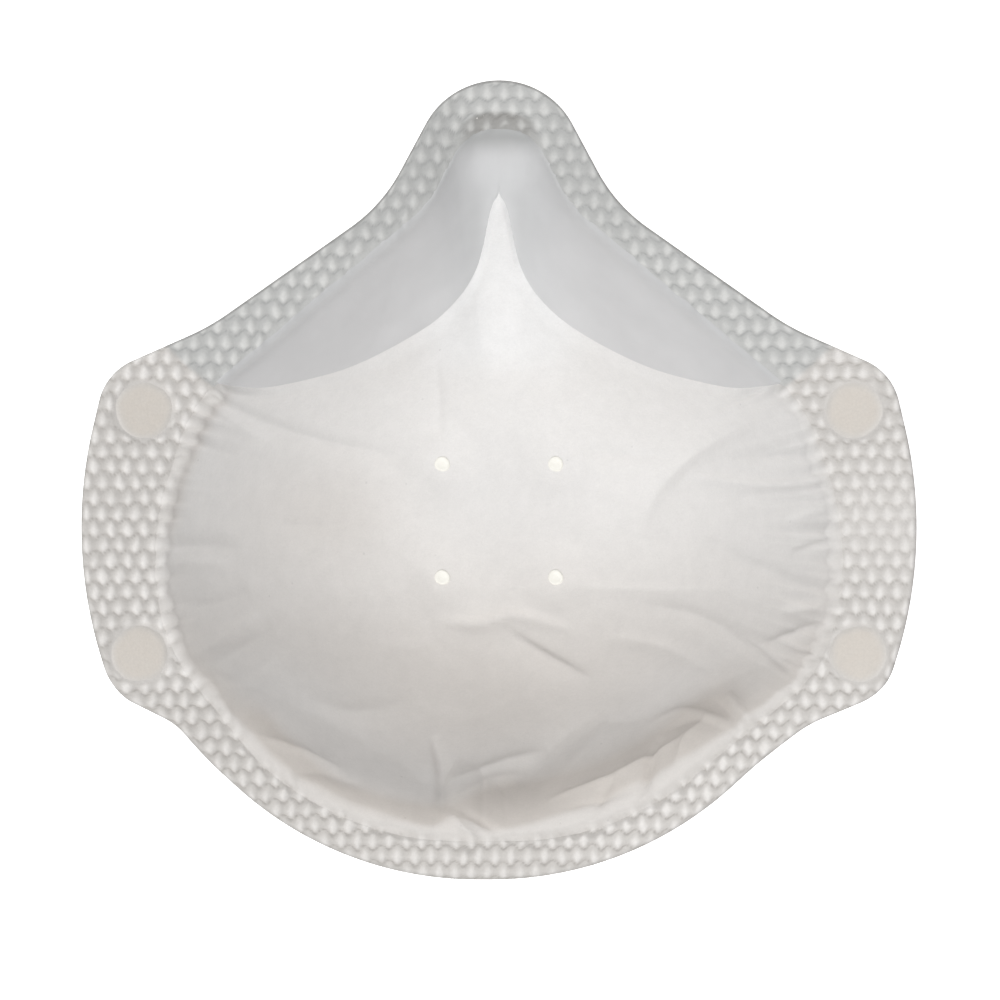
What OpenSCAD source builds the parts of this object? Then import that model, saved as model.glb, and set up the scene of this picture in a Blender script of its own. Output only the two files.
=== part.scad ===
// Disposable dust mask, lying on the front of its cup with the wearer's side up.
// X runs across the face, +Y points to the nose and +Z to the wearer. Sizes are in millimetres.

/* [Outline of the rim] */
// Width across the ears
mask_w = 141.4; // [120:0.2:170]
// Height from the nose tip to the chin
mask_h = 136; // [115:0.5:165]
// Width of the nose lobe between the corners at its top
nose_top_w = 16.8; // [12:0.2:24]
// Width of the nose lobe where it runs into the brows
nose_foot_w = 39.6; // [34:0.2:48]
// Distance from the nose tip down to the foot of the lobe
nose_foot_drop = 21.2; // [17:0.2:26]
// Width between the slight bends of the two brows
brow_w = 98; // [88:1:106]
// Distance from the nose tip down to the bends of the brows
brow_drop = 42; // [36:0.5:48]
// Distance from the nose tip down to the upper corners of the ears
ear_top_drop = 49.8; // [44:0.2:56]
// How far the upper corners of the ears lie inside the full width
ear_top_inset = 4.4; // [2:0.2:8]
// How far the widest place of the ears lies below the middle of the mask
ear_mid_drop = 11; // [4:0.5:16]
// Distance from the chin up to the lower corners of the ears
ear_low_rise = 32; // [28:0.2:38]
// How far the lower corners of the ears lie inside the full width
ear_low_inset = 5.4; // [3:0.2:9]
// Width between the hollow corners of the jaw
jaw_w = 107; // [98:1:114]
// Distance from the chin up to the hollow corners of the jaw
jaw_rise = 26.5; // [22:0.5:31]
// Width of the chin between the ends of its round stretch
chin_w = 49.4; // [40:0.2:60]
// How far the soft chin sits to one side, as photographed
chin_lean = -2.5; // [-5:0.5:5]

/* [Sealing rim] */
// Width of the rim at the nose tip
nose_rim_w = 8.2; // [6:0.1:11]
// Width of the rim at the ears
ear_rim_w = 12.2; // [10:0.1:15]
// Width of the rim at the chin
chin_rim_w = 6.5; // [5:0.1:9]
// Thickness of the fused rim
rim_t = 1.2; // [0.8:0.1:2]
// Slope of the rim, which flares towards the wearer
rim_tilt = 18; // [8:1:24]
// How much higher the ears lie than the nose and the chin
ear_rise = 6; // [0:0.5:10]

/* [Cup] */
// Height of the mouth of the cup above its front, at the nose and the chin
mouth_z = 40; // [32:0.5:50]
// Diameter of the flat front of the cup
front_d = 32; // [28:0.5:40]
// How far the flat front lies below the middle of the mask
front_drop = 7; // [2:0.5:12]
// Thickness of the moulded outer shell
shell_t = 1; // [0.7:0.1:1.6]
// Thickness of the filter web
filter_t = 1; // [0.6:0.1:1.6]
// Thickness of the inner liner
liner_t = 0.5; // [0.3:0.1:0.8]

/* [Nose seal] */
// Thickness of the grey film
seal_t = 0.6; // [0.4:0.1:1]
// Bearing of the ends of the film, from the middle of the front
seal_end = 27; // [22:1:32]

/* [Welds] */
// Diameter of the round strap welds
weld_d = 10; // [8:0.2:11]
// Thickness of the strap welds, which are pressed thinner than the rim
weld_t = 0.7; // [0.5:0.1:0.8]
// Distance from the side of an ear in to the middle of its upper strap weld
upper_weld_inset = 10.5; // [8:0.1:12]
// Distance from the upper corners of the ears down to the upper strap welds
upper_weld_drop = 6.4; // [5:0.1:9]
// Distance from the side of an ear in to the middle of its lower strap weld
lower_weld_inset = 9.7; // [8:0.1:11]
// Distance from the lower corners of the ears up to the lower strap welds
lower_weld_rise = 6.5; // [5:0.1:9]
// Diameter of the small tack welds
tack_d = 2.6; // [2:0.1:3.4]
// Side of the square on which the tack welds lie
tack_pitch = 19.8; // [16:0.2:21]

/* [Straps] */
// Width of the elastic straps
strap_w = 6; // [4:0.2:7]
// Thickness of the elastic straps
strap_t = 0.9; // [0.6:0.1:1.2]
// How far the hinge line of a strap lies below the rim
hinge_drop = 5; // [4:0.2:8]
// How far a stowed strap keeps inside the edge of the rim
stow_inset = 4; // [2:0.5:5]

/* [Fits] */
// Gap between layers that lie on each other
layer_gap = 0.1; // [0.05:0.05:0.2]
// Gap between the film and the liner under it
seal_gap = 0.3; // [0.2:0.05:0.4]
// Gap round a weld
weld_gap = 0.15; // [0.1:0.05:0.3]
// Gap between the moving and the fixed end of a strap
hinge_gap = 0.3; // [0.2:0.05:0.5]
// Height of the stowed straps above the ground
ground_gap = 0.3; // [0.1:0.1:1]

/* [Hidden] */

// Stations round half of the rim, rows from the mouth to the front, rows of the film, rings of a strap
half_stations = 48;
wall_rows = 9;
seal_rows = 5;
strap_steps = 20;
arc_steps = 12;
outline_steps = 240;

top_y = mask_h / 2;
chin_y = -mask_h / 2;
front_y = -front_drop;
front_r = front_d / 2;
ear_mid_y = -ear_mid_drop;

// Radii of the corners of the rim, from the nose to the chin
nose_r = 14;
nose_foot_r = 28;
brow_r = 40;
ear_corner_r = 10;
ear_side_r = 75;
jaw_r = 15;
chin_r = 60;
// How far the corner of the bulging ear stands outside the arc that rounds it
ear_bulge = 2.4;

// Corners of half of the outer edge, each with the radius that rounds it
edge_corners = [
    [nose_top_w / 2, top_y, nose_r],
    [nose_foot_w / 2, top_y - nose_foot_drop, nose_foot_r],
    [brow_w / 2, top_y - brow_drop, brow_r],
    [mask_w / 2 - ear_top_inset, top_y - ear_top_drop, ear_corner_r],
    [mask_w / 2 + ear_bulge, ear_mid_y, ear_side_r],
    [mask_w / 2 - ear_low_inset, chin_y + ear_low_rise, ear_corner_r],
    [jaw_w / 2, chin_y + jaw_rise, jaw_r],
    [chin_w / 2, chin_y, chin_r]
];

// The corners of the mouth keep these distances from the corners of the outer edge
mouth_nose_in = 2.9;
mouth_foot_in = 7.6;
mouth_brow_out = 3;
mouth_brow_drop = 12.6;
mouth_ear_bulge = 1.4;
mouth_low_in = 9.5;
mouth_low_rise = 5;

// Radii of the corners of the mouth
mouth_nose_r = 8;
mouth_foot_r = 20;
mouth_brow_r = 25;
mouth_ear_r = 45;
mouth_low_r = 28;
mouth_chin_r = 50;

// Corners of half of the mouth, where the rim ends and the liner starts
mouth_corners = [
    [nose_top_w / 2 - mouth_nose_in, top_y - nose_rim_w, mouth_nose_r],
    [nose_foot_w / 2 - mouth_foot_in, top_y - nose_foot_drop, mouth_foot_r],
    [brow_w / 2 + mouth_brow_out, top_y - brow_drop - mouth_brow_drop, mouth_brow_r],
    [mask_w / 2 - ear_rim_w + mouth_ear_bulge, ear_mid_y, mouth_ear_r],
    [mask_w / 2 - ear_low_inset - mouth_low_in, chin_y + ear_low_rise + mouth_low_rise, mouth_low_r],
    [chin_w / 2, chin_y + chin_rim_w, mouth_chin_r]
];

// Depth of each layer's two faces, measured from the outside of the shell
filter_out = shell_t + layer_gap;
filter_in = filter_out + filter_t;
liner_out = filter_in + layer_gap;
liner_in = liner_out + liner_t;
seal_out = liner_in + seal_gap;
seal_in = seal_out + seal_t;
// A layer is this much wider across the steep wall at the mouth than on the flat front
wall_spread = 1.15;

// Control points of the wall's profile: share of the way out to the mouth, share of the mouth's height
wall_curve = [[0, 0], [0.5, 0], [0.74, 0.45], [1, 1]];

// Depth of the film below the mouth at each bearing, with the notch over the ridge of the nose
seal_depths = [
    [90, 12],
    [86.5, 18],
    [83.5, 21.5],
    [79, 19],
    [72, 15.5],
    [65, 14],
    [55, 12.8],
    [45, 11.6],
    [38, 10.2],
    [31, 7.2],
    [seal_end, 3]
];

// The chin leans between these heights
lean_start_y = chin_y + 34;
lean_end_y = chin_y + 18;

// Distance between the two upper and the two lower strap welds, and the heights of both pairs
upper_weld_w = mask_w - 2 * upper_weld_inset;
lower_weld_w = mask_w - 2 * lower_weld_inset;
upper_weld_y = top_y - ear_top_drop - upper_weld_drop;
lower_weld_y = chin_y + ear_low_rise + lower_weld_rise;
// A strap runs this far past the middle of its weld before it turns down
strap_reach = 4.5;
upper_hinge_y = upper_weld_y + strap_reach;
lower_hinge_y = lower_weld_y - strap_reach;
// A stowed strap drops first and runs round later, by these powers
drop_power = 4;
run_power = 1.6;

function unit(v) = v / norm(v);

function mix(a, b, share) = a + (b - a) * share;

function smooth(share) =
    let (s = max(0, min(1, share)))
    s * s * (3 - 2 * s);

// Point of a cubic curve with four control points
function bezier(points, t) =
    pow(1 - t, 3) * points[0]
    + 3 * t * pow(1 - t, 2) * points[1]
    + 3 * t * t * (1 - t) * points[2]
    + pow(t, 3) * points[3];

// How far from corner b a rounding of radius r starts, between the neighbours a and c
function corner_reach(a, b, c, r) = r / tan(acos(unit(a - b) * unit(c - b)) / 2);

// Arc of radius r that rounds corner b between its neighbours a and c
function corner_arc(a, b, c, r) =
    let (
        u = unit(a - b),
        v = unit(c - b),
        half = acos(u * v) / 2,
        middle = b + unit(u + v) * r / sin(half),
        from = b + u * r / tan(half) - middle,
        to = b + v * r / tan(half) - middle,
        start = atan2(from.y, from.x),
        turn = (atan2(to.y, to.x) - start + 540) % 360 - 180
    )
    [
        for (i = [0 : arc_steps])
            let (angle = start + turn * i / arc_steps)
            middle + r * [cos(angle), sin(angle)]
    ];

// Half of an outline, from the middle of the nose to the middle of the chin.
// A rounding is limited where it and the next one would not both fit on the edge between them.
function rounded_half(corners) =
    let (
        last = len(corners) - 1,
        flat = [for (c = corners) [c.x, c.y]],
        all = concat([[-flat[0].x, flat[0].y]], flat, [[-flat[last].x, flat[last].y]]),
        own = [for (i = [0 : last]) corner_reach(all[i], all[i + 1], all[i + 2], corners[i].z)],
        reach = concat([own[0]], own, [own[last]]),
        room = [for (i = [0 : last + 1]) norm(all[i + 1] - all[i]) / (reach[i] + reach[i + 1])],
        radii = [for (i = [0 : last]) corners[i].z * min(1, room[i], room[i + 1])],
        arcs = [for (i = [0 : last]) each corner_arc(all[i], all[i + 1], all[i + 2], radii[i])]
    )
    concat([[0, flat[0].y]], arcs, [[0, flat[last].y]]);

// Distance along a line at each of its points
function distances(line, i = 0, sum = 0) =
    i == len(line) - 1
        ? [sum]
        : concat([sum], distances(line, i + 1, sum + norm(line[i + 1] - line[i])));

// The line again, in equal steps
function even_steps(line, count) =
    let (
        along = distances(line),
        full = along[len(along) - 1],
        xs = [for (i = [0 : len(line) - 1]) [along[i], line[i].x]],
        ys = [for (i = [0 : len(line) - 1]) [along[i], line[i].y]]
    )
    [for (k = [0 : count]) [lookup(full * k / count, xs), lookup(full * k / count, ys)]];

// Bearing and distance of a point, seen from the middle of the front
function bearing(p) = atan2(p.y - front_y, p.x);

function distance(p) = norm([p.x, p.y - front_y]);

function polar_table(half_line) = [for (p = half_line) [bearing(p), distance(p)]];

// The bulging ears are brought to the full width
edge_drawn = rounded_half(edge_corners);
edge_stretch = mask_w / 2 / max([for (p = edge_drawn) p.x]);
edge_half = [for (p = edge_drawn) [p.x * edge_stretch, p.y]];
edge_table = polar_table(even_steps(edge_half, outline_steps));
mouth_table = polar_table(even_steps(rounded_half(mouth_corners), outline_steps));

// Bearings of the stations round the whole rim, from the nose by way of +X
half_bearings = [for (p = even_steps(edge_half, half_stations)) bearing(p)];
stations = concat(
    half_bearings,
    [for (i = [half_stations - 1 : -1 : 1]) 180 - half_bearings[i]]
);
// Bearings of the columns of the film, from its left end to its right end
seal_right = [for (a = half_bearings) if (a >= seal_end) a];
seal_columns = concat(
    [for (i = [len(seal_right) - 1 : -1 : 1]) 180 - seal_right[i]],
    seal_right
);

// Both halves of the mask share one table
function folded(angle) = angle > 90 ? 180 - angle : angle;

function edge_r(angle) = lookup(folded(angle), edge_table);

function mouth_r(angle) = lookup(folded(angle), mouth_table);

function rise_at(x) = ear_rise * pow(x / (mask_w / 2), 2);

function mouth_height(angle) = mouth_z + rise_at(mouth_r(angle) * cos(angle));

// Height of the rim's underside at a distance from the middle of the front
function rim_height(angle, r) =
    mouth_z + layer_gap + rise_at(r * cos(angle)) + (r - mouth_r(angle)) * tan(rim_tilt);

// Point of the rim's underside
function rim_point(angle, r) = at_polar(angle, r, rim_height(angle, r));

function lean(p) = p + [chin_lean * smooth((lean_start_y - p.y) / (lean_start_y - lean_end_y)), 0, 0];

function at_polar(angle, r, z) = lean([r * cos(angle), front_y + r * sin(angle), z]);

// Profile of the wall, row by row, from the front to the mouth
wall_table = [for (j = [0 : wall_rows]) bezier(wall_curve, j / wall_rows)];

// Radius of a layer's face at the mouth, where the face of the liner meets the rim
function face_mouth_r(angle, depth) = mouth_r(angle) + (liner_in - depth) * wall_spread;

// Point of the face at a depth inside the shell, at a share of the way out to the mouth
function face_point(angle, share, depth) =
    let (
        r = mix(front_r, face_mouth_r(angle, depth), share),
        z = mix(depth, mouth_height(angle), lookup(share, wall_table))
    )
    at_polar(angle, r, z);

// Rows of points of one whole face, from the mouth to the front, then the middle of the front
function face_points(depth) = concat(
    [for (j = [wall_rows : -1 : 0]) each [for (a = stations) face_point(a, wall_table[j].x, depth)]],
    [[0, front_y, depth]]
);

// Column of points of the film, from its lap on the rim down to its free edge
function seal_column(angle, depth) =
    let (wall = face_mouth_r(angle, depth) - front_r, down = lookup(folded(angle), seal_depths))
    concat(
        [face_point(angle, 1, depth) + [0, 0, rim_t]],
        [for (j = [0 : seal_rows]) face_point(angle, 1 - down / wall * j / seal_rows, depth)]
    );

// The film's points in rows
function seal_points(depth) =
    let (columns = [for (a = seal_columns) seal_column(a, depth)])
    [for (j = [0 : seal_rows + 1]) each [for (c = columns) c[j]]];

// Triangles of a grid of rows by columns; a closed grid joins its last column to its first
function grid_faces(rows, columns, first, closed, flip) = [
    for (j = [0 : rows - 2])
        for (i = [0 : columns - (closed ? 1 : 2)])
            let (
                k = (i + 1) % columns,
                a = first + j * columns + i,
                b = first + j * columns + k,
                c = first + (j + 1) * columns + k,
                d = first + (j + 1) * columns + i
            )
            each flip ? [[a, c, b], [a, d, c]] : [[a, b, c], [a, c, d]]
];

// Triangles between two closed loops of points
function loop_faces(from, to) = [
    for (i = [0 : len(from) - 1])
        let (k = (i + 1) % len(from))
        each [[from[i], from[k], to[k]], [from[i], to[k], to[i]]]
];

function fan_faces(loop, tip, flip) = [
    for (i = [0 : len(loop) - 1])
        let (k = (i + 1) % len(loop))
        flip ? [loop[i], tip, loop[k]] : [loop[i], loop[k], tip]
];

// Numbers of a row of points, and of the points round the border of an open grid
function row(first, count) = [for (i = [0 : count - 1]) first + i];

function border(rows, columns, first) = concat(
    row(first, columns),
    [for (j = [1 : rows - 1]) first + j * columns + columns - 1],
    [for (i = [columns - 2 : -1 : 0]) first + (rows - 1) * columns + i],
    [for (j = [rows - 2 : -1 : 1]) first + j * columns]
);

// One closed layer of the cup between two depths
module cup_layer(outside, inside) {
    columns = len(stations);
    rows = wall_rows + 1;
    tip = rows * columns;
    second = tip + 1;
    polyhedron(
        points = concat(face_points(outside), face_points(inside)),
        faces = concat(
            grid_faces(rows, columns, 0, true, true),
            fan_faces(row(tip - columns, columns), tip, true),
            grid_faces(rows, columns, second, true, false),
            fan_faces(row(second + tip - columns, columns), second + tip, false),
            loop_faces(row(0, columns), row(second, columns))
        )
    );
}

// Ring that follows the rim, from one height above its underside to another.
// It starts at the face that lies at the given depth inside the shell.
module rim_ring(from_z, to_z, depth = liner_in) {
    columns = len(stations);
    inner = [for (a = stations) rim_point(a, face_mouth_r(a, depth))];
    outer = [for (a = stations) rim_point(a, edge_r(a))];
    low = [0, 0, from_z];
    high = [0, 0, to_z];
    polyhedron(
        points = concat(
            [for (p = outer) p + low],
            [for (p = outer) p + high],
            [for (p = inner) p + high],
            [for (p = inner) p + low]
        ),
        faces = concat(
            grid_faces(4, columns, 0, true, false),
            loop_faces(row(3 * columns, columns), row(0, columns))
        )
    );
}

// Upright rod through a place on the ears
module rod(x, y, d) {
    translate([x, y, 0])
        cylinder(h = 2 * mouth_z, d = d, $fn = 48);
}

// Upright rods at the four tack welds
module tack_rods(d, from_z, to_z) {
    for (x = [-1, 1], y = [-1, 1])
        translate([x * tack_pitch / 2, front_y + y * tack_pitch / 2, from_z])
            cylinder(h = to_z - from_z, d = d, $fn = 32);
}

// A layer with room for the tack welds that pass through it
module tacked_layer(outside, inside) {
    difference() {
        cup_layer(outside, inside);
        tack_rods(tack_d + 2 * weld_gap, 0, 2 * inside);
    }
}

module strap_weld(side, w, y) {
    color("antiquewhite")
        intersection() {
            rim_ring(0, weld_t);
            rod(side * w / 2, y, weld_d);
        }
}

// Height of the hinge line of a strap
function hinge_z(w, y) = rim_height(bearing([w / 2, y]), distance([w / 2, y])) - hinge_drop;

// The two fixed ends of a strap: flat under the weld, clear of the shell, then down to the hinge line
module strap_ends(w, weld_y, hinge_y) {
    toward = sign(hinge_y - weld_y);
    start_y = weld_y - toward * weld_d / 2;
    tip_y = hinge_y + toward * strap_t / 2;
    leg_z = hinge_z(w, hinge_y) + strap_t / 2 + hinge_gap;
    color("floralwhite")
        for (side = [-1, 1]) {
            intersection() {
                rim_ring(-layer_gap - strap_t, -layer_gap, -weld_gap);
                translate([side * w / 2 - strap_w / 2, min(start_y, tip_y), 0])
                    cube([strap_w, abs(tip_y - start_y), 2 * mouth_z]);
            }
            intersection() {
                rim_ring(-2 * hinge_drop, -layer_gap, -weld_gap);
                translate([side * w / 2 - strap_w / 2, hinge_y - strap_t / 2, leg_z])
                    cube([strap_w, strap_t, 2 * hinge_drop]);
            }
        }
}

// Point of a stowed strap at one side, from its hinge (0) to the middle of the mask (1)
function strap_point(w, hinge_y, side, share) =
    let (
        start = [w / 2, hinge_y],
        last = hinge_y > front_y ? 90 : -90,
        angle = mix(bearing(start), last, pow(share, run_power)),
        inset = mix(edge_r(bearing(start)) - distance(start), stow_inset, smooth(2 * share)),
        z = mix(ground_gap + strap_w / 2, hinge_z(w, hinge_y), pow(1 - share, drop_power))
    )
    at_polar(side > 0 ? angle : 180 - angle, edge_r(angle) - inset, z);

// The band lies across X at its hinges and stands on its edge at the middle of the mask
function strap_across(side, share) = mix([-side, 0, 0], [0, 0, 1], smooth(share));

// Four corners of the band at point b of its line, between the points a and c
function strap_ring(a, b, c, across) =
    let (
        along = unit(c - a),
        wide = unit(across - along * (along * across)) * strap_w / 2,
        thick = cross(along, unit(wide)) * strap_t / 2
    )
    [b + wide + thick, b - wide + thick, b - wide - thick, b + wide - thick];

// Free loop of a strap, stowed under the rim
module strap_loop(w, hinge_y) {
    last = 2 * strap_steps;
    sides = [for (k = [0 : last]) k < strap_steps ? -1 : 1];
    shares = [for (k = [0 : last]) 1 - abs(k - strap_steps) / strap_steps];
    line = [for (k = [0 : last]) strap_point(w, hinge_y, sides[k], shares[k])];
    points = [
        for (k = [0 : last])
            each strap_ring(
                line[max(k - 1, 0)],
                line[k],
                line[min(k + 1, last)],
                strap_across(sides[k], shares[k])
            )
    ];
    end = 4 * last;
    color("floralwhite")
        polyhedron(
            points = points,
            faces = concat(
                grid_faces(last + 1, 4, 0, true, true),
                [[0, 1, 2], [0, 2, 3], [end, end + 2, end + 1], [end, end + 3, end + 2]]
            )
        );
}

module outer_shell() {
    color("whitesmoke")
        cup_layer(0, shell_t);
}

module filter_media() {
    color("white")
        tacked_layer(filter_out, filter_in);
}

module inner_liner() {
    color("linen")
        tacked_layer(liner_out, liner_in);
}

module sealing_rim() {
    color("gainsboro")
        difference() {
            rim_ring(0, rim_t);
            for (side = [-1, 1]) {
                rod(side * upper_weld_w / 2, upper_weld_y, weld_d + 2 * weld_gap);
                rod(side * lower_weld_w / 2, lower_weld_y, weld_d + 2 * weld_gap);
            }
        }
}

module nose_seal() {
    columns = len(seal_columns);
    rows = seal_rows + 2;
    second = rows * columns;
    color("silver")
        polyhedron(
            points = concat(seal_points(seal_out), seal_points(seal_in)),
            faces = concat(
                grid_faces(rows, columns, 0, false, true),
                grid_faces(rows, columns, second, false, false),
                loop_faces(border(rows, columns, 0), border(rows, columns, second))
            )
        );
}

module tack_welds() {
    color("ivory")
        tack_rods(tack_d, shell_t + layer_gap, liner_in);
}

outer_shell();
filter_media();
inner_liner();
sealing_rim();
nose_seal();
tack_welds();
strap_weld(-1, upper_weld_w, upper_weld_y);  // strap_weld_upper_left
strap_weld(1, upper_weld_w, upper_weld_y);  // strap_weld_upper_right
strap_weld(-1, lower_weld_w, lower_weld_y);  // strap_weld_lower_left
strap_weld(1, lower_weld_w, lower_weld_y);  // strap_weld_lower_right
strap_ends(upper_weld_w, upper_weld_y, upper_hinge_y);  // upper_strap_ends
strap_ends(lower_weld_w, lower_weld_y, lower_hinge_y);  // lower_strap_ends
strap_loop(upper_weld_w, upper_hinge_y);  // upper_strap
strap_loop(lower_weld_w, lower_hinge_y);  // lower_strap
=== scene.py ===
"""Looks of a moulded disposable dust mask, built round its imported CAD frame."""

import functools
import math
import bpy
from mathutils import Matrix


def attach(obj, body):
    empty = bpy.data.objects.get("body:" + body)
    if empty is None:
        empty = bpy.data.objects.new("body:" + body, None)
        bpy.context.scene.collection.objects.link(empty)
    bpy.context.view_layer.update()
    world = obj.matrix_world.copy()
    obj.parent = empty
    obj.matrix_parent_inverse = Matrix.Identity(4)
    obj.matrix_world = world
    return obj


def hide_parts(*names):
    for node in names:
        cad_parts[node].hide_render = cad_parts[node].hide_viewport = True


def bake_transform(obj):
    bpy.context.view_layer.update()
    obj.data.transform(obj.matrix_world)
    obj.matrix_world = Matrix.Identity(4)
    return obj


bl_info = {
    "name": "Disposable dust mask",
    "version": (1, 0, 0),
    "blender": (4, 5, 0),
    "location": "View3D > Sidebar > Dust Mask",
    "description": "Builds the web layers, embossed rim, nose seal, welds and straps of a cup dust mask",
    "category": "Add Mesh",
}

import bpy
import numpy as np
from mathutils import Vector, noise

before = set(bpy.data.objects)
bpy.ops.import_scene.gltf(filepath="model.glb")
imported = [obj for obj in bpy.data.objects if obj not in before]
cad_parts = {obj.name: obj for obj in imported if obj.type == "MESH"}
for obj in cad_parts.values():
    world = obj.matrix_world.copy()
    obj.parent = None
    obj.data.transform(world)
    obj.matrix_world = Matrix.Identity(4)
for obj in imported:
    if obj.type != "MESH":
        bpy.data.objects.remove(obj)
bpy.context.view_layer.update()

MM = 0.001

# Sizes are in millimetres, but settings and stage are in metres. Bearings are in degrees round the front:
# 0 at the right ear, 90 at the nose, 180 at the left ear and -90 or 270 at the chin.
# Outline of the rim and of the mouth of the cup, as the frame has them: corners of the right half
# from the nose to the chin, each with the radius that rounds it
EDGE_CORNERS = [
    (8.4, 68.0, 14.0),
    (19.8, 46.8, 28.0),
    (49.0, 26.0, 40.0),
    (66.3, 18.2, 10.0),
    (73.1, -11.0, 75.0),
    (65.3, -36.0, 10.0),
    (53.5, -41.5, 15.0),
    (24.7, -68.0, 60.0),
]
MOUTH_CORNERS = [
    (5.5, 59.8, 8.0),
    (12.2, 46.8, 20.0),
    (52.0, 13.4, 25.0),
    (59.9, -11.0, 45.0),
    (55.8, -31.0, 28.0),
    (24.7, -61.5, 50.0),
]
OUTLINE_STEPS = 480
HALF_WIDTH = 70.7
FRONT_Y = -7.0
FRONT_R = 16.0
MOUTH_Z = 40.0
EAR_RISE = 6.0
RIM_TILT = math.tan(math.radians(18.0))
RIM_LIFT = 0.1
# Lean of the chin to one side, and the heights in plan between which it grows
CHIN_LEAN = -2.5
LEAN_Y = (-34.0, -50.0)
# Curve of the wall from the flat front to the mouth, as shares of the way out and up
WALL_CURVE = [(0.0, 0.0), (0.5, 0.0), (0.74, 0.45), (1.0, 1.0)]
WALL_SPREAD = 1.15
# Depths of the faces of the layers inside the outside of the shell
SHELL_T = 1.0
FILTER_FACES = (1.1, 2.1)
LINER_FACE = 2.7
# Round strap welds: half the distance between a pair, its place in y, and which way its strap leaves
WELDS = {"upper": (60.2, 11.8, 1), "lower": (61.0, -29.5, -1)}
# Places of the spot welds round the middle of the front
TACKS = [(x, y) for x in (-9.9, 9.9) for y in (-9.9, 9.9)]


# ---- Shapes shared by the pieces

def ramp(value, zero, one):
    """Soft step of a value, from 0 at one place to 1 at another."""
    s = np.clip((value - zero) / (one - zero), 0.0, 1.0)
    return s * s * (3.0 - 2.0 * s)


def hill(value, top, width):
    """Soft bump of a value, 1 at its top."""
    return np.exp(-(((value - top) / width) ** 2))


def run_of(*axes):
    """Distance along a line of points from its start."""
    return np.concatenate([[0.0], np.cumsum(np.sqrt(sum(np.diff(a) ** 2 for a in axes)))])


def resample(steps, along, table):
    """Rows of a table at other places along it."""
    return np.column_stack([np.interp(steps, along, part) for part in table.T])


def even_steps(line, count):
    """The line again, in equal steps."""
    along = run_of(*line.T)
    return resample(np.linspace(0, along[-1], count + 1), along, line)


def corner_arc(a, b, c, radius, steps=24):
    """Arc that rounds corner b between its neighbours a and c."""
    a, b, c = (np.array(p, float) for p in (a, b, c))
    u = (a - b) / np.linalg.norm(a - b)
    v = (c - b) / np.linalg.norm(c - b)
    half = math.acos(float(u @ v)) / 2
    middle = b + (u + v) / np.linalg.norm(u + v) * radius / math.sin(half)
    start = b + u * radius / math.tan(half) - middle
    end = b + v * radius / math.tan(half) - middle
    first = math.atan2(start[1], start[0])
    turn = (math.atan2(end[1], end[0]) - first + 3 * math.pi) % (2 * math.pi) - math.pi
    angles = first + turn * np.linspace(0, 1, steps)
    return middle + radius * np.column_stack([np.cos(angles), np.sin(angles)])


def rounded_half(corners):
    """Half of an outline, from the middle of the nose to the middle of the chin."""
    flat = [(x, y) for x, y, _ in corners]
    ring = [(-flat[0][0], flat[0][1])] + flat + [(-flat[-1][0], flat[-1][1])]
    arcs = [corner_arc(*ring[i:i + 3], corner[2]) for i, corner in enumerate(corners)]
    return np.vstack([[(0.0, flat[0][1])], *arcs, [(0.0, flat[-1][1])]])


def spline(points, per_span=12):
    """Points of a smooth curve through the given ones."""
    p = np.array(points, float)
    p = np.vstack([2 * p[0] - p[1], p, 2 * p[-1] - p[-2]])
    t = np.linspace(0, 1, per_span, endpoint=False)[:, None]
    out = []
    for a, b, c, d in zip(p, p[1:], p[2:], p[3:]):
        bend, turn = 2 * a - 5 * b + 4 * c - d, 3 * b - a - 3 * c + d
        out.append(0.5 * (2 * b + (c - a) * t + bend * t ** 2 + turn * t ** 3))
    return np.vstack([*out, p[-2]])


def polar_table(points):
    """Bearings, rising from the chin to the nose, and distances from the middle of the front."""
    bearing = np.degrees(np.arctan2(points[:, 1] - FRONT_Y, points[:, 0]))
    distance = np.hypot(points[:, 0], points[:, 1] - FRONT_Y)
    order = np.argsort(bearing)
    return bearing[order], distance[order]


EDGE_HALF = rounded_half(EDGE_CORNERS)
EDGE_HALF[:, 0] *= HALF_WIDTH / EDGE_HALF[:, 0].max()
EDGE_TABLE = polar_table(even_steps(EDGE_HALF, OUTLINE_STEPS))
MOUTH_TABLE = polar_table(even_steps(rounded_half(MOUTH_CORNERS), OUTLINE_STEPS))


def folded(angle):
    """Bearing in the right half that mirrors a bearing in the left half."""
    return np.where(angle > 90.0, 180.0 - angle, angle)


def edge_r(angle):
    return np.interp(folded(angle), *EDGE_TABLE)


def mouth_r(angle):
    return np.interp(folded(angle), *MOUTH_TABLE)


def inward_of(angle, r):
    """How far a place lies inside the mouth of the cup."""
    return mouth_r(angle) - r


def rise_at(angle, r):
    """Rise of the rim toward the ears."""
    return EAR_RISE * (r * np.cos(np.radians(angle)) / HALF_WIDTH) ** 2


def lean(y):
    return CHIN_LEAN * ramp(y, *LEAN_Y)


def plan(angle, r):
    """Plan coordinates of a bearing and a distance, with the lean of the chin."""
    y = FRONT_Y + r * np.sin(np.radians(angle))
    return r * np.cos(np.radians(angle)) + lean(y), y


def bearing_of(x, y):
    """Bearing from -90 to 270 and distance of plan coordinates, without the lean of the chin."""
    straight = x - lean(y)
    angle = np.degrees(np.arctan2(y - FRONT_Y, straight))
    return np.where(angle < -90.0, angle + 360.0, angle), np.hypot(straight, y - FRONT_Y)


def rim_underside(angle, r):
    return MOUTH_Z + RIM_LIFT + rise_at(angle, r) - inward_of(angle, r) * RIM_TILT


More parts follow.
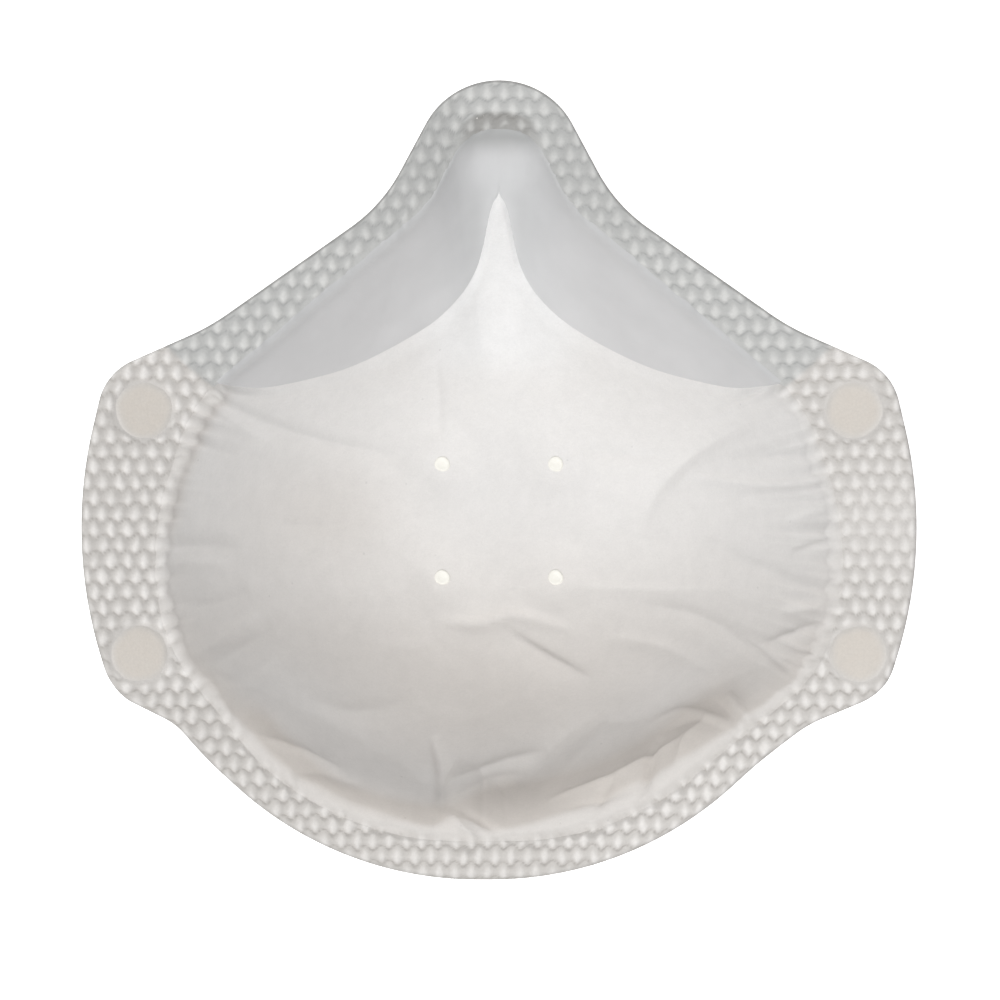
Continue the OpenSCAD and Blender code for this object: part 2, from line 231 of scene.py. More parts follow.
def wall_height(share):
    """Share of the mouth's height at a share of the way out from the flat front."""
    t = np.linspace(0, 1, 200)
    weights = np.stack([(1 - t) ** 3, 3 * t * (1 - t) ** 2, 3 * t * t * (1 - t), t ** 3])
    out, up = np.array(WALL_CURVE).T @ weights
    return np.interp(share, out, up)


def layer_edge(angle, depth):
    """Distance at which a layer's face ends under the rim."""
    return mouth_r(angle) + (LINER_FACE - depth) * WALL_SPREAD


def layer_height(angle, r, depth):
    """Height of a layer's face in the cup at a bearing and a distance."""
    top = MOUTH_Z + rise_at(angle, mouth_r(angle))
    share = np.clip((r - FRONT_R) / (layer_edge(angle, depth) - FRONT_R), 0.0, 1.0)
    return depth + (top - depth) * wall_height(share)


def stations(count):
    """Bearings of even steps along the whole outer edge, from the nose by way of the right ear."""
    half = even_steps(EDGE_HALF, count // 2)
    right = np.degrees(np.arctan2(half[:, 1] - FRONT_Y, half[:, 0]))
    return np.concatenate([right, 180.0 - right[-2:0:-1]])


def fractal(x, y, size, octaves=3, seed=0.0):
    """Smooth noise in plan, about -1 to 1, with features of the given size."""
    places = zip(np.ravel(x) / size, np.ravel(y) / size)
    values = [noise.fractal(Vector((u, v, seed)), 1.0, 2.0, octaves) for u, v in places]
    return np.array(values).reshape(np.shape(x))


def from_line(x, y, line):
    """Distance from a line of points in plan, positive on its left, and the share of the way along it."""
    best = np.full(np.shape(x), np.inf)
    side, share = np.zeros(np.shape(x)), np.zeros(np.shape(x))
    along = run_of(*line.T)
    for start, a, d in zip(along, line, np.diff(line, axis=0)):
        t = np.clip(((x - a[0]) * d[0] + (y - a[1]) * d[1]) / (d @ d), 0, 1)
        away = np.hypot(x - a[0] - t * d[0], y - a[1] - t * d[1])
        near = away < best
        best = np.where(near, away, best)
        side = np.where(near, np.sign(d[0] * (y - a[1]) - d[1] * (x - a[0])), side)
        share = np.where(near, (start + t * np.sqrt(d @ d)) / along[-1], share)
    return best * side, share


# ---- Mesh work

# Steps in edit mode: an operator and its settings
ALL = ("select_all", {"action": "SELECT"})
NONE = ("select_all", {"action": "DESELECT"})
OPEN_EDGES = ("select_non_manifold", {})
MERGE = ("remove_doubles", {"threshold": 1e-6})
OUTWARD = ("normals_make_consistent", {"inside": False})


def only(obj):
    """Makes obj the one selected and active object."""
    bpy.ops.object.select_all(action="DESELECT")
    obj.select_set(True)
    bpy.context.view_layer.objects.active = obj


def edit(obj, *steps):
    """Takes steps in edit mode on one object."""
    only(obj)
    bpy.ops.object.mode_set(mode="EDIT")
    for operator, values in steps:
        getattr(bpy.ops.mesh, operator)(**values)
    bpy.ops.object.mode_set(mode="OBJECT")


def join(first, *others):
    """Makes one object of several."""
    only(first)
    for obj in others:
        obj.select_set(True)
    bpy.ops.object.join()
    return first


def points_of(obj):
    """Points of a mesh, in millimetres."""
    at = np.zeros(len(obj.data.vertices) * 3)
    obj.data.vertices.foreach_get("co", at)
    return at.reshape(-1, 3) / MM


def set_points(obj, points):
    """Moves the points of a mesh; points are in millimetres."""
    obj.data.vertices.foreach_set("co", (np.asarray(points, float) * MM).ravel())
    obj.data.update()


def paint(obj, name, values):
    """Keeps a number for each point of a mesh, for its material."""
    attribute = obj.data.attributes.new(name, "FLOAT", "POINT")
    attribute.data.foreach_set("value", np.asarray(values, np.float32))


def surface(name, points, looks=None, closed=True):
    """A mesh over points, rows by columns, with its painted numbers; closed means rolled up by its columns."""
    rows, columns = points.shape[:2]
    counts = (columns + 1 if closed else columns, rows)
    bpy.ops.object.select_all(action="DESELECT")
    bpy.ops.mesh.primitive_grid_add(x_subdivisions=counts[0] - 1, y_subdivisions=counts[1] - 1, size=2.0)
    obj = bpy.context.active_object
    obj.name = obj.data.name = name
    share = (points_of(obj)[:, :2] * MM + 1) / 2
    column, row = np.rint(share * (np.array(counts) - 1)).astype(int).T
    column = column % columns
    set_points(obj, points[row, column])
    for key, values in (looks or {}).items():
        paint(obj, key, values[row, column])
    return obj


def disc(name, radius, sides, height, rings):
    """A disc at the origin with rings inset in its face, its points, and their distances and turns."""
    bpy.ops.object.select_all(action="DESELECT")
    bpy.ops.mesh.primitive_circle_add(vertices=sides, radius=radius, fill_type="NGON")
    obj = bpy.context.active_object
    obj.name = obj.data.name = name
    raised = ("extrude_region_move", {"TRANSFORM_OT_translate": {"value": (0, 0, height * MM)}})
    edit(obj, ALL, raised, *(("inset", {"thickness": step * MM}) for step in rings))
    at = points_of(obj)
    return obj, at, np.hypot(at[:, 0], at[:, 1]), np.arctan2(at[:, 1], at[:, 0])


def face_up(obj):
    if obj.data.polygons[len(obj.data.polygons) // 2].normal.z < 0:
        obj.data.flip_normals()


def thicken(obj, thickness):
    """Gives a sheet its thickness, below the face that shows."""
    only(obj)
    solid = obj.modifiers.new("thickness", "SOLIDIFY")
    solid.thickness = thickness
    solid.offset = -1.0
    solid.use_even_offset = False
    bpy.ops.object.modifier_apply(modifier=solid.name)


def finish_piece(obj, material, slot, *nodes):
    """Smooth shading, material and hidden frame nodes of a piece; the slot is not used."""
    only(obj)
    bpy.ops.object.shade_smooth()
    obj.data.materials.clear()
    obj.data.materials.append(material)
    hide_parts(*nodes)


def grid_normals(points):
    """Upward normals of a grid of points, rows by columns, closed round its columns."""
    around = np.roll(points, -1, axis=1) - np.roll(points, 1, axis=1)
    normal = np.cross(around, np.gradient(points, axis=0))
    normal = normal / np.maximum(np.linalg.norm(normal, axis=2, keepdims=True), 1e-9)
    normal[-1] = (0.0, 0.0, 1.0)
    return np.where(normal[:, :, 2:3] < 0, -normal, normal)


# ---- Materials

WHITE = (1.0, 1.0, 1.0, 1.0)
# Distance between the picks of the elastic
PICK_PITCH = 0.7


def linear(code):
    """An sRGB hex colour as linear RGBA."""
    parts = [int(code[i:i + 2], 16) / 255 for i in (1, 3, 5)]
    return tuple(p / 12.92 if p <= 0.04045 else ((p + 0.055) / 1.055) ** 2.4 for p in parts) + (1.0,)


def per_mm(size):
    """Scale of a texture whose features have the given size, on coordinates in metres."""
    return 1.0 / (size * MM)


def add_node(tree, name, kind, **values):
    """Adds a node with its settings and links, or feeds the node of that name.

    A key in small letters is a setting. Any other is an input, with _ for a space or before its number,
    and takes a value or the "node.output" that feeds it.
    """
    node = tree.nodes.get(name) or tree.nodes.new("ShaderNode" + kind)
    node.name = name
    for key in sorted(values, key=str.islower, reverse=True):
        value = values[key]
        if key.islower():
            setattr(node, key, value)
            continue
        socket = node.inputs[int(key[1:]) if key[0] == "_" else key.replace("_", " ")]
        if isinstance(value, str):
            source, output = value.split(".")
            tree.links.new(tree.nodes[source].outputs[output], socket)
        else:
            socket.default_value = value


def new_material(name, *painted):
    """A material with its painted numbers, and the function that adds a node to it."""
    material = bpy.data.materials.new(name)
    material.use_nodes = True
    material.node_tree.nodes.clear()
    add = functools.partial(add_node, material.node_tree)
    add("shader", "BsdfPrincipled")
    add("output", "OutputMaterial", Surface="shader.BSDF")
    for key in painted:
        add(key, "Attribute", attribute_name=key)
    return material, add


def web_looks(add, noises, mixes, base, lights, bump, **shader):
    """Feeds a shader with colours mixed in turn, patterns that scale the last of them, and a fine bump.

    A noise has its size in mm, detail, roughness and distortion, and a mix its factor and two colours.
    A light has its source, the two ends of its range and the brightness at each. The bump has its source,
    strength and depth in mm.
    """
    add("place", "TexCoord")
    for name, (size, detail, rough, bent) in noises.items():
        add(name, "TexNoise", Vector="place.Object", Scale=per_mm(size), Detail=detail, Roughness=rough,
            Distortion=bent)
    for name, (factor, a, b) in mixes.items():
        add(name, "Mix", data_type="RGBA", Factor=factor, A=a, B=b)
    amount = 1.0
    for source, low, high, dark, light in lights:
        name = source.split(".")[0]
        add(name + "_range", "MapRange", Value=source, From_Min=low, From_Max=high, To_Min=dark, To_Max=light)
        add(name + "_light", "Math", operation="MULTIPLY", _0=amount, _1=name + "_range.Result")
        amount = name + "_light.Value"
    add("colour", "VectorMath", operation="MULTIPLY", _0=base, _1=amount)
    add("bump", "Bump", Height=bump[0], Strength=bump[1], Distance=bump[2] * MM)
    add("shader", "BsdfPrincipled", Base_Color="colour.Vector", Normal="bump.Normal", **shader)


def spunbond_liner(colours):
    # Thermally bonded polypropylene filaments: matt, soft, faintly mottled, with a few stray specks
    material, add = new_material("spunbond_liner_web", "shade", "hem", "loft")
    web_looks(
        add,
        noises={"mottle": (2.6, 4.0, 0.62, 0.0), "fibres": (0.42, 2.0, 0.5, 1.2)},
        mixes={
            "web": ("loft.Fac", colours.rim_valley, colours.rim_pillow),
            # Painted shade: the shade attribute darkens the white liner toward its shaded tone
            "body": ("shade.Fac", colours.liner, colours.liner_painted_shade),
            "tone": ("hem.Fac", "body.Result", "web.Result"),
        },
        base="tone.Result",
        lights=[("mottle.Fac", 0.35, 0.65, 0.98, 1.012), ("fibres.Fac", 0.3, 0.7, 0.97, 1.02)],
        bump=("fibres.Fac", 0.18, 0.12),
        Roughness=0.92, Specular_IOR_Level=0.2, Sheen_Weight=0.12, Sheen_Roughness=0.6)
    add("specks", "TexVoronoi", Vector="place.Object", Scale=per_mm(5.5), Randomness=1.0)
    add("dot", "MapRange", Value="specks.Distance", From_Min=0.03, From_Max=0.05, To_Min=0.10, To_Max=0.0)
    add("specked", "Math", operation="SUBTRACT", _0="fibres_light.Value", _1="dot.Result")
    add("colour", "VectorMath", _1="specked.Value")
    return material


def embossed_rim(colours):
    # Layers pressed together by a heated patterned die: lofty pillows stay white, the fused valleys
    # between them are denser and greyer, and where the grey film is fused in all of it is cooler
    # The dark valley colour is partly the denser fused web and partly painted shade, the white of the peaks
    # partly a painted highlight
    material, add = new_material("heat_embossed_web", "loft", "film", "hollow", "pressed_edge")
    web_looks(
        add,
        noises={"fibres": (0.5, 3.0, 0.6, 0.8)},
        mixes={
            "web": ("loft.Fac", colours.rim_valley, colours.rim_pillow),
            "grey": ("loft.Fac", colours.nose_valley, colours.nose_pillow),
            "zone": ("film.Fac", "web.Result", "grey.Result"),
            # Painted shade in the hollow behind the lip over the nose
            "sunk": ("hollow.Fac", "zone.Result", colours.nose_hollow),
            # Darker band along the outer edge of the rim
            "cut": ("pressed_edge.Fac", "sunk.Result", colours.outer_edge_dark),
        },
        base="cut.Result",
        lights=[("fibres.Fac", 0.3, 0.7, 0.95, 1.04)],
        bump=("fibres.Fac", 0.3, 0.2),
        Roughness=0.7, Specular_IOR_Level=0.35)
    return material


def grey_film(colours):
    # Soft thermoplastic film over the white web: smooth, cool grey, satin, with a painted highlight over the
    # ridge and painted shade under the nose lip, along its top edge and on its flanks
    material, add = new_material("translucent_grey_seal_film", "ridge", "tuck")
    web_looks(
        add,
        noises={"cloud": (9.0, 3.0, 0.5, 0.0), "grain": (0.35, 2.0, 0.5, 0.0)},
        mixes={
            "tone": ("ridge.Fac", colours.film, colours.film_ridge),
            "tucked": ("tuck.Fac", "tone.Result", colours.film_painted_shade),
        },
        base="tucked.Result",
        lights=[("cloud.Fac", 0.3, 0.7, 0.97, 1.03)],
        bump=("grain.Fac", 0.06, 0.1),
        Roughness=0.55, Specular_IOR_Level=0.35, IOR=1.48)
    return material


def fused_weld(colours):
    # Layers melted into one skin under a round horn: smooth, warm, satin, paler where it runs out
    material, add = new_material("ultrasonic_weld_skin", "disc_edge")
    web_looks(
        add,
        noises={"cloud": (3.2, 3.0, 0.6, 0.0), "grain": (0.45, 3.0, 0.65, 0.0)},
        mixes={
            "tone": ("cloud.Fac", colours.weld, colours.weld_warm),
            "faded": ("disc_edge.Fac", "tone.Result", colours.weld_edge),
        },
        base="faded.Result",
        lights=[("grain.Fac", 0.3, 0.7, 0.955, 1.035)],
        bump=("grain.Fac", 0.22, 0.15),
        Roughness=0.5, Specular_IOR_Level=0.4)
    return material


def tack_spot(colours):
    # Spot weld through liner and filter: a small cream-white melted dot, smoother than the web round it
    material, add = new_material("spot_weld_dot")
    add("place", "TexCoord")
    add("grain", "TexNoise", Vector="place.Object", Scale=per_mm(0.6), Detail=2.0)
    add("colour", "Mix", data_type="RGBA", Factor="grain.Fac", A=colours.tack, B=colours.tack_shade)
    add("shader", "BsdfPrincipled", Base_Color="colour.Result", Roughness=0.45, Specular_IOR_Level=0.4)
    return material


def moulded_felt(name, tint, fibre, contrast):
    # Fibre web of polyester or polypropylene, hot-moulded or carded: matt, felted, fine crossing fibres
    material, add = new_material(name)
    web_looks(
        add,
        noises={"fibres": (fibre, 4.0, 0.66, 1.6), "cloud": (7.0, 3.0, 0.5, 0.0)},
        mixes={},
        base=tint[:3],
        lights=[
            ("fibres.Fac", 0.3, 0.7, 1.0 - contrast, 1.0 + contrast * 0.5),
            ("cloud.Fac", 0.3, 0.7, 0.97, 1.02),
        ],
        bump=("fibres.Fac", 0.4, 0.25),
        Roughness=0.9, Specular_IOR_Level=0.2, Sheen_Weight=0.1, Sheen_Roughness=0.5)
    return material


def woven_elastic(colours):
    # Rubber cores covered by knitted polyester: cream, matt, with picks across the ribs, and painted shade
    # between the ribs
    material, add = new_material("knitted_elastic_band", "along_mm", "groove")
    add("pick", "Math", operation="MULTIPLY", _0="along_mm.Fac", _1=2 * math.pi / PICK_PITCH)
    add("wave", "Math", operation="SINE", _0="pick.Value")
    web_looks(
        add,
        noises={"fuzz": (0.5, 3.0, 0.5, 0.0)},
        # Painted shade in the grooves between the ribs
        mixes={"tone": ("groove.Fac", colours.elastic, colours.elastic_groove)},
        base="tone.Result",
        lights=[("wave.Value", -1.0, 1.0, 0.9, 1.03), ("fuzz.Fac", 0.3, 0.7, 0.94, 1.04)],
        bump=("wave.Value", 0.35, 0.1),
        Roughness=0.85, Specular_IOR_Level=0.25, Sheen_Weight=0.15, Sheen_Roughness=0.5)
    return material


def studio_floor(colours, glow):
    # White acrylic sheet of a light table: glows for the camera, but gives the mask only what it reflects
    material, add = new_material("white_light_table")
    add("path", "LightPath")
    add("seen", "Math", operation="MULTIPLY", _0="path.Is Camera Ray", _1=glow)
    add("shader", "BsdfPrincipled", Base_Color=colours.floor, Roughness=0.6, Specular_IOR_Level=0.2,
        Emission_Color=WHITE, Emission_Strength="seen.Value")
    return material


# ---- Settings

def colour(title, words, code):
    return bpy.props.FloatVectorProperty(
        name=title, description=words, subtype="COLOR", size=4, min=0.0, max=1.0, default=linear(code))


def length(title, words, metres):
    return bpy.props.FloatProperty(
        name=title, description=words, unit="LENGTH", default=metres, min=0.0, precision=5)


class DustMaskSizes(bpy.types.PropertyGroup):
    """Sizes that a user would change."""

    pillow_pitch: length("Pillow pitch", "Distance between the embossed pillows of one row", 0.00277)
    pillow_rows: length("Row pitch", "Distance between the rows of pillows", 0.00265)
    pillow_height: length("Pillow height", "Height of the pillows above the fused valleys", 0.0008)
    film_thickness: length("Film thickness", "Thickness of the grey nose seal", 0.00015)
    weld_radius: length("Weld radius", "Radius of the round strap welds", 0.005)
    tack_radius: length("Tack radius", "Radius of the four spot welds", 0.00132)
    strap_width: length("Strap width", "Width of the elastic head straps", 0.006)
    strap_thickness: length("Strap thickness", "Thickness of the elastic head straps", 0.0009)
    camera_height: length("Camera height", "Height of the camera above the rim", 1.5)


class DustMaskColours(bpy.types.PropertyGroup):
    """Colours that a user would change."""

    liner: colour("Liner", "White of the liner where it faces the light", "#F1F1F1")
    # Painted shade: the darker, warmer tone that the liner's painted shade mixes toward
    liner_painted_shade: colour("Deep liner", "Warmer tone of the liner down its steep sides", "#D6D0CA")
    # Pillow colours: the web's own white plus a painted highlight; valley colours: the greyer fused web plus
    # painted shade
    rim_pillow: colour("Pillow", "White of the lofty pillows of the rim", "#EFECE9")
    rim_valley: colour("Valley", "Tone of the fused valleys of the rim", "#B9B5B0")
    nose_pillow: colour("Nose pillow", "Tone of the pillows over the grey film", "#DDDDDB")
    nose_valley: colour("Nose valley", "Tone of the valleys over the grey film", "#ACADAC")
    # Painted shade in the hollow behind the lip over the nose
    nose_hollow: colour("Nose hollow", "Tone of the hollow behind the lip over the nose", "#969491")
    # Darker band along the outer edge of the rim, stronger round the nose
    outer_edge_dark: colour("Cut edge", "Tone of the pressed cut edge", "#8E8D8B")
    film: colour("Film", "Cool grey of the nose seal", "#D7D7D8")
    # Painted shade of the film under the nose lip, along its top edge and on its flanks
    film_painted_shade: colour("Film tuck", "Darker tone of the film where it is tucked under the lip", "#B2B3B3")
    # Painted highlight over the ridge of the nose
    film_ridge: colour("Film ridge", "Lighter tone of the film over the ridge of the nose", "#DADBDC")
    weld: colour("Weld", "Beige of the strap welds", "#DAD5CE")
    weld_warm: colour("Warm weld", "Warmer clouds in the strap welds", "#DAD2C9")
    weld_edge: colour("Weld edge", "Paler edge where a strap weld runs out into the rim", "#D6D3CF")
    tack: colour("Tack", "Cream white of the spot welds", "#FBFAF4")
    tack_shade: colour("Tack shade", "Darker grain of the spot welds", "#F1EFE6")
    shell: colour("Shell", "White of the moulded outer shell", "#E6E4E0")
    filter_web: colour("Filter", "White of the filter web", "#ECECEA")
    elastic: colour("Elastic", "Cream of the head straps", "#EAE4D6")
    # Painted shade in the grooves between the ribs
    elastic_groove: colour("Elastic groove", "Tone between the ribs of the head straps", "#CFC7B6")
    floor: colour("Floor", "White of the floor", "#F7F7F7")


class DustMaskSettings(bpy.types.PropertyGroup):
    """All settings of the dust mask."""

    sizes: bpy.props.PointerProperty(type=DustMaskSizes, name="Sizes")
    colours: bpy.props.PointerProperty(type=DustMaskColours, name="Colours")


def settings():
    chosen = bpy.context.scene.dust_mask
    return chosen.sizes, chosen.colours


# ---- Rim

RIM_COLUMNS = 1060
RIM_TOP_ROWS = 42
RIM_LOW_ROWS = 9
# How far the rim's web runs on into the cup, and how far it lies below the liner there
RIM_RUN_IN = 1.9
UNDER_HEM = 0.7
VALLEY_LIFT = 0.5
# Lattice of pillows: where it starts, its waver, the wave of the valley between two rows, the place of
# the crest in a row from its chin side, the width of a peak, and how round the slopes are
LATTICE_AT = (-64.25, 5.1)
PILLOW_WAVER = (0.42, 0.32)
PILLOW_WAVE = 0.36
PILLOW_CREST = 0.36
PEAK_WIDTH = 0.26
SLOPE_ROUND = 0.7
# Roll of the web at the mouth, and the hollow behind the lip over the nose
ROLL = 0.9
ROLL_SLOPE = 3.0
NOSE_HOLLOW = 1.2
# Bearing where the grey film ends in the rim at the mouth, and how much further it ends at the outer edge
FILM_END = 25.2
FILM_END_SLANT = 2.6
# The welds press the pillows flat inside these distances, and the rim dips under their edges
WELD_FLAT = (4.7, 5.6)
WELD_DIP = 0.2
WELD_DIP_AT = (5.7, 4.8)
# Drop of the rim at its cut edge, the width over which it drops, and the least thickness of its web
EDGE_DROP = 0.18
EDGE_ROUND = 0.7
WEB_LEAST = 0.35


def lip_height(angle, r):
    """Height of the web's face where it rolls over from the rim into the cup."""
    inward = np.clip(inward_of(angle, r), 0.0, None)
    roll = ROLL * (np.hypot(inward / ROLL, 1.0) - 1.0) * ROLL_SLOPE
    return rim_underside(angle, np.maximum(r, mouth_r(angle))) + VALLEY_LIFT - roll


def nose_hollow(angle, r, x):
    """Share of the hollow behind the lip over the nose."""
    upper_half = np.sin(np.radians(angle)) > 0
    return ramp(inward_of(angle, r), -3.2, -2.2) * ramp(np.abs(x), 7.4, 3.8) * upper_half


def rim_base(angle, r, x):
    """Height of the valleys of the rim, with the hollow behind the lip over the nose."""
    return lip_height(angle, r) - NOSE_HOLLOW * nose_hollow(angle, r, x)


def weld_places():
    """Frame node and place in plan of each strap weld."""
    for name, (x, y, _) in WELDS.items():
        for side, label in ((-1, "left"), (1, "right")):
            yield f"strap_weld_{name}_{label}", side * x, y


def to_weld(x, y):
    """Distance to the nearest strap weld."""
    return np.min([np.hypot(x - wx, y - wy) for _, wx, wy in weld_places()], axis=0)


def lattice_noise(i, j, seed):
    """A fixed number from 0 to 1 for each pillow."""
    v = np.sin(i * 127.1 + j * 311.7 + seed * 74.7) * 43758.5453
    return v - np.floor(v)


def pillows(x, y, sizes):
    """Loft of the embossed pattern, 0 in the valleys to 1 on a pillow, on one lattice across the mask.

    The rows overlap like shingles: each rises gently from its nose side to a crest with a peak on each
    pillow, and drops steeply to a wavy valley on its chin side.
    """
    pitch, row_pitch = sizes.pillow_pitch / MM, sizes.pillow_rows / MM
    bent_x = x + PILLOW_WAVER[0] * fractal(x, y, 4.2, 2, 11.0) - LATTICE_AT[0]
    bent_y = y + PILLOW_WAVER[1] * fractal(x, y, 4.2, 2, 17.0) - LATTICE_AT[1]
    first = np.rint(bent_y / row_pitch)
    loft = np.zeros(np.shape(x))
    for j in (first - 1, first, first + 1):
        across = bent_x / pitch - np.where(np.mod(j, 2) == 0, 0.0, 0.5)
        k = np.rint(across)
        wave = PILLOW_WAVE * np.cos(2 * math.pi * across)
        low, high = (j - 0.5) * row_pitch - wave, (j + 0.5) * row_pitch + wave
        t = (bent_y - low) / (high - low)
        steep = np.sin(np.clip(t / PILLOW_CREST, 0, 1) * math.pi / 2) ** SLOPE_ROUND
        gentle = np.clip((1 - t) / (1 - PILLOW_CREST), 0, 1) ** SLOPE_ROUND
        peak = hill(across, k, PEAK_WIDTH) * (0.7 + 0.5 * lattice_noise(k, j, 3))
        row = np.where(t < PILLOW_CREST, steep, gentle) * (0.34 + 0.66 * peak)
        loft = np.where((t >= 0) & (t <= 1), row, loft)
    return loft


def embossing(angle, r, sizes):
    """Loft of the pillows at a bearing and a distance, and their tone, from a dark valley to a white pillow:
    partly the fused web's own colour, partly painted shade in the valleys and a painted highlight on the
    peaks.

    The strap welds press the pattern flat, and it fades out at the cut edge and into the cup. Painted shade
    dulls its tone left of the chin and beside the nose, and its painted shade and highlight are weaker at the
    right ear.
    """
    x, y = plan(angle, r)
    loft = pillows(x, y, sizes)
    tone = 0.42 * ramp(loft, 0.0, 0.22) + 0.58 * ramp(loft, 0.28, 0.88)
    # Painted shade left of the chin and on the flanks of the nose lip; weaker painted shade and highlight at
    # the right ear
    chin = ramp(x, 24.0, 4.0) * ramp(y, -32.0, -40.0)
    lip = ramp(y, 36.0, 44.0) * ramp(np.abs(x), 5.0, 11.0)
    soft = ramp(x, 48.0, 62.0) * hill(y, -7.0, 9.0)
    tone = tone * (1 - 0.19 * chin - 0.24 * lip) + 0.4 * soft * (0.85 - tone)
    reach = 0.7 + 1.7 * fractal(x, y, 4.0, 1, 23.0) - 0.9 * nose_zone(angle, r)
    kept = ramp(inward_of(angle, r) - reach, 0.6, -0.6) * ramp(to_weld(x, y), *WELD_FLAT)
    at_edge = ramp(edge_r(angle) - r, -0.135, 0.765)
    return loft * kept * at_edge, tone * kept + 0.5 * (1 - kept)


def nose_zone(angle, r):
    """Share of the grey film in the rim: 1 round the nose, 0 at the ears and the chin."""
    width = np.maximum(edge_r(angle) - mouth_r(angle), 1.0)
    end = FILM_END - FILM_END_SLANT * inward_of(angle, r) / width
    return ramp(folded(angle) - end, -0.45, 0.45)


class DUSTMASK_OT_rim(bpy.types.Operator):
    """Embossed sealing rim with its lattice of pillows"""

    bl_idname = "dust_mask.rim"
    bl_label = "Sealing rim"

    def execute(self, context):
        sizes, colours = settings()
        # Rows run out over the face, back in under it, and meet the first row again
        out, back = np.linspace(0, 1, RIM_TOP_ROWS), np.linspace(1, 0, RIM_LOW_ROWS)
        share = np.concatenate([out, back, [0.0]])[:, None]
        face = np.concatenate([np.ones(RIM_TOP_ROWS, bool), np.zeros(RIM_LOW_ROWS, bool), [True]])[:, None]
        angle = np.repeat(stations(RIM_COLUMNS)[None, :], len(share), axis=0)
        inner, outer = mouth_r(angle) - RIM_RUN_IN, edge_r(angle)
        r = inner + (outer - inner) * share
        x, y = plan(angle, r)
        loft, tone = embossing(angle, r, sizes)
        film = nose_zone(angle, r)
        to_edge = outer - r
        plain = rim_base(angle, r, x) - UNDER_HEM * ramp(inward_of(angle, r), 0.2, 1.4)
        z = plain + loft * (1 - 0.3 * film) * sizes.pillow_height / MM
        z -= EDGE_DROP * ramp(to_edge, EDGE_ROUND, 0.0) + WELD_DIP * ramp(to_weld(x, y), *WELD_DIP_AT)
        below = np.minimum(rim_underside(angle, np.maximum(r, mouth_r(angle))), plain - WEB_LEAST)
        looks = {
            # loft holds the tone: painted shade in the valleys and a painted highlight on the peaks
            "loft": np.where(face, tone, 0.6),
            "film": film * face,
            # Painted shade in the hollow behind the lip over the nose, lighter on the pillows
            "hollow": nose_hollow(angle, r, x) * (1 - 0.65 * tone) * face,
            # Darker band along the outer edge of the rim, stronger round the nose
            "pressed_edge": (0.35 + 0.55 * film) * ramp(to_edge, 0.55, 0.1),
        }
        obj = surface("embossed_rim", np.dstack([x, y, np.where(face, z, below)]), looks)
        edit(obj, ALL, MERGE, OUTWARD)
        finish_piece(obj, embossed_rim(colours), "embossed_rim", "sealing_rim")
        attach(obj, "mask")
        return {"FINISHED"}


# ---- Liner

LINER_COLUMNS = 700
LINER_ROWS = 125
# The underside of the liner has one row and column of this many
UNDERSIDE_STEP = 5
PROFILE_SAMPLES = 420
# Width of the flat strip where the liner leaves the rim, at bearings of the right and of the left half
STRIP_RIGHT = [
    (-90, 1.4), (-86, 1.0), (-82, 1.6), (-76, 2.5), (-68, 3.4), (-61, 3.9), (-53, 2.6), (-45, 1.6),
    (-38, 1.2), (-30, 0.9), (-22, 0.0),
]
STRIP_LEFT = [
    (-90, 1.4), (-87, 2.6), (-84, 3.2), (-81, 1.4), (-77, 1.3), (-70, 2.2), (-60, 2.3), (-50, 1.6),
    (-40, 1.0), (-30, 0.5), (-22, 0.0),
]
STRIP_SLOPE = math.tan(math.radians(24.0))
DROP_SLOPE = math.tan(math.radians(61.0))
HEM_LIFT = 0.1
# How far the liner stands off the filter at most, off its plain shape everywhere, and its hidden face below
LINER_BILLOW = 4.0
LINER_SLACK = 1.1
LINER_BACK = 0.35
# Length over which the corners of the plain profile are rounded
PROFILE_ROUND = 0.7
# Height of the gathers, and of the pleats that run on from the pillows
GATHER_HEIGHT = 0.24
FINGER_HEIGHT = 1.6
# Distances from a tack at which the liner is free and held
TACK_HOLD = (9.2, 1.2)
# How far the hem sinks under the ends of the film, and on its hidden side
HEM_SINK = 0.5
BACK_SINK = 0.25

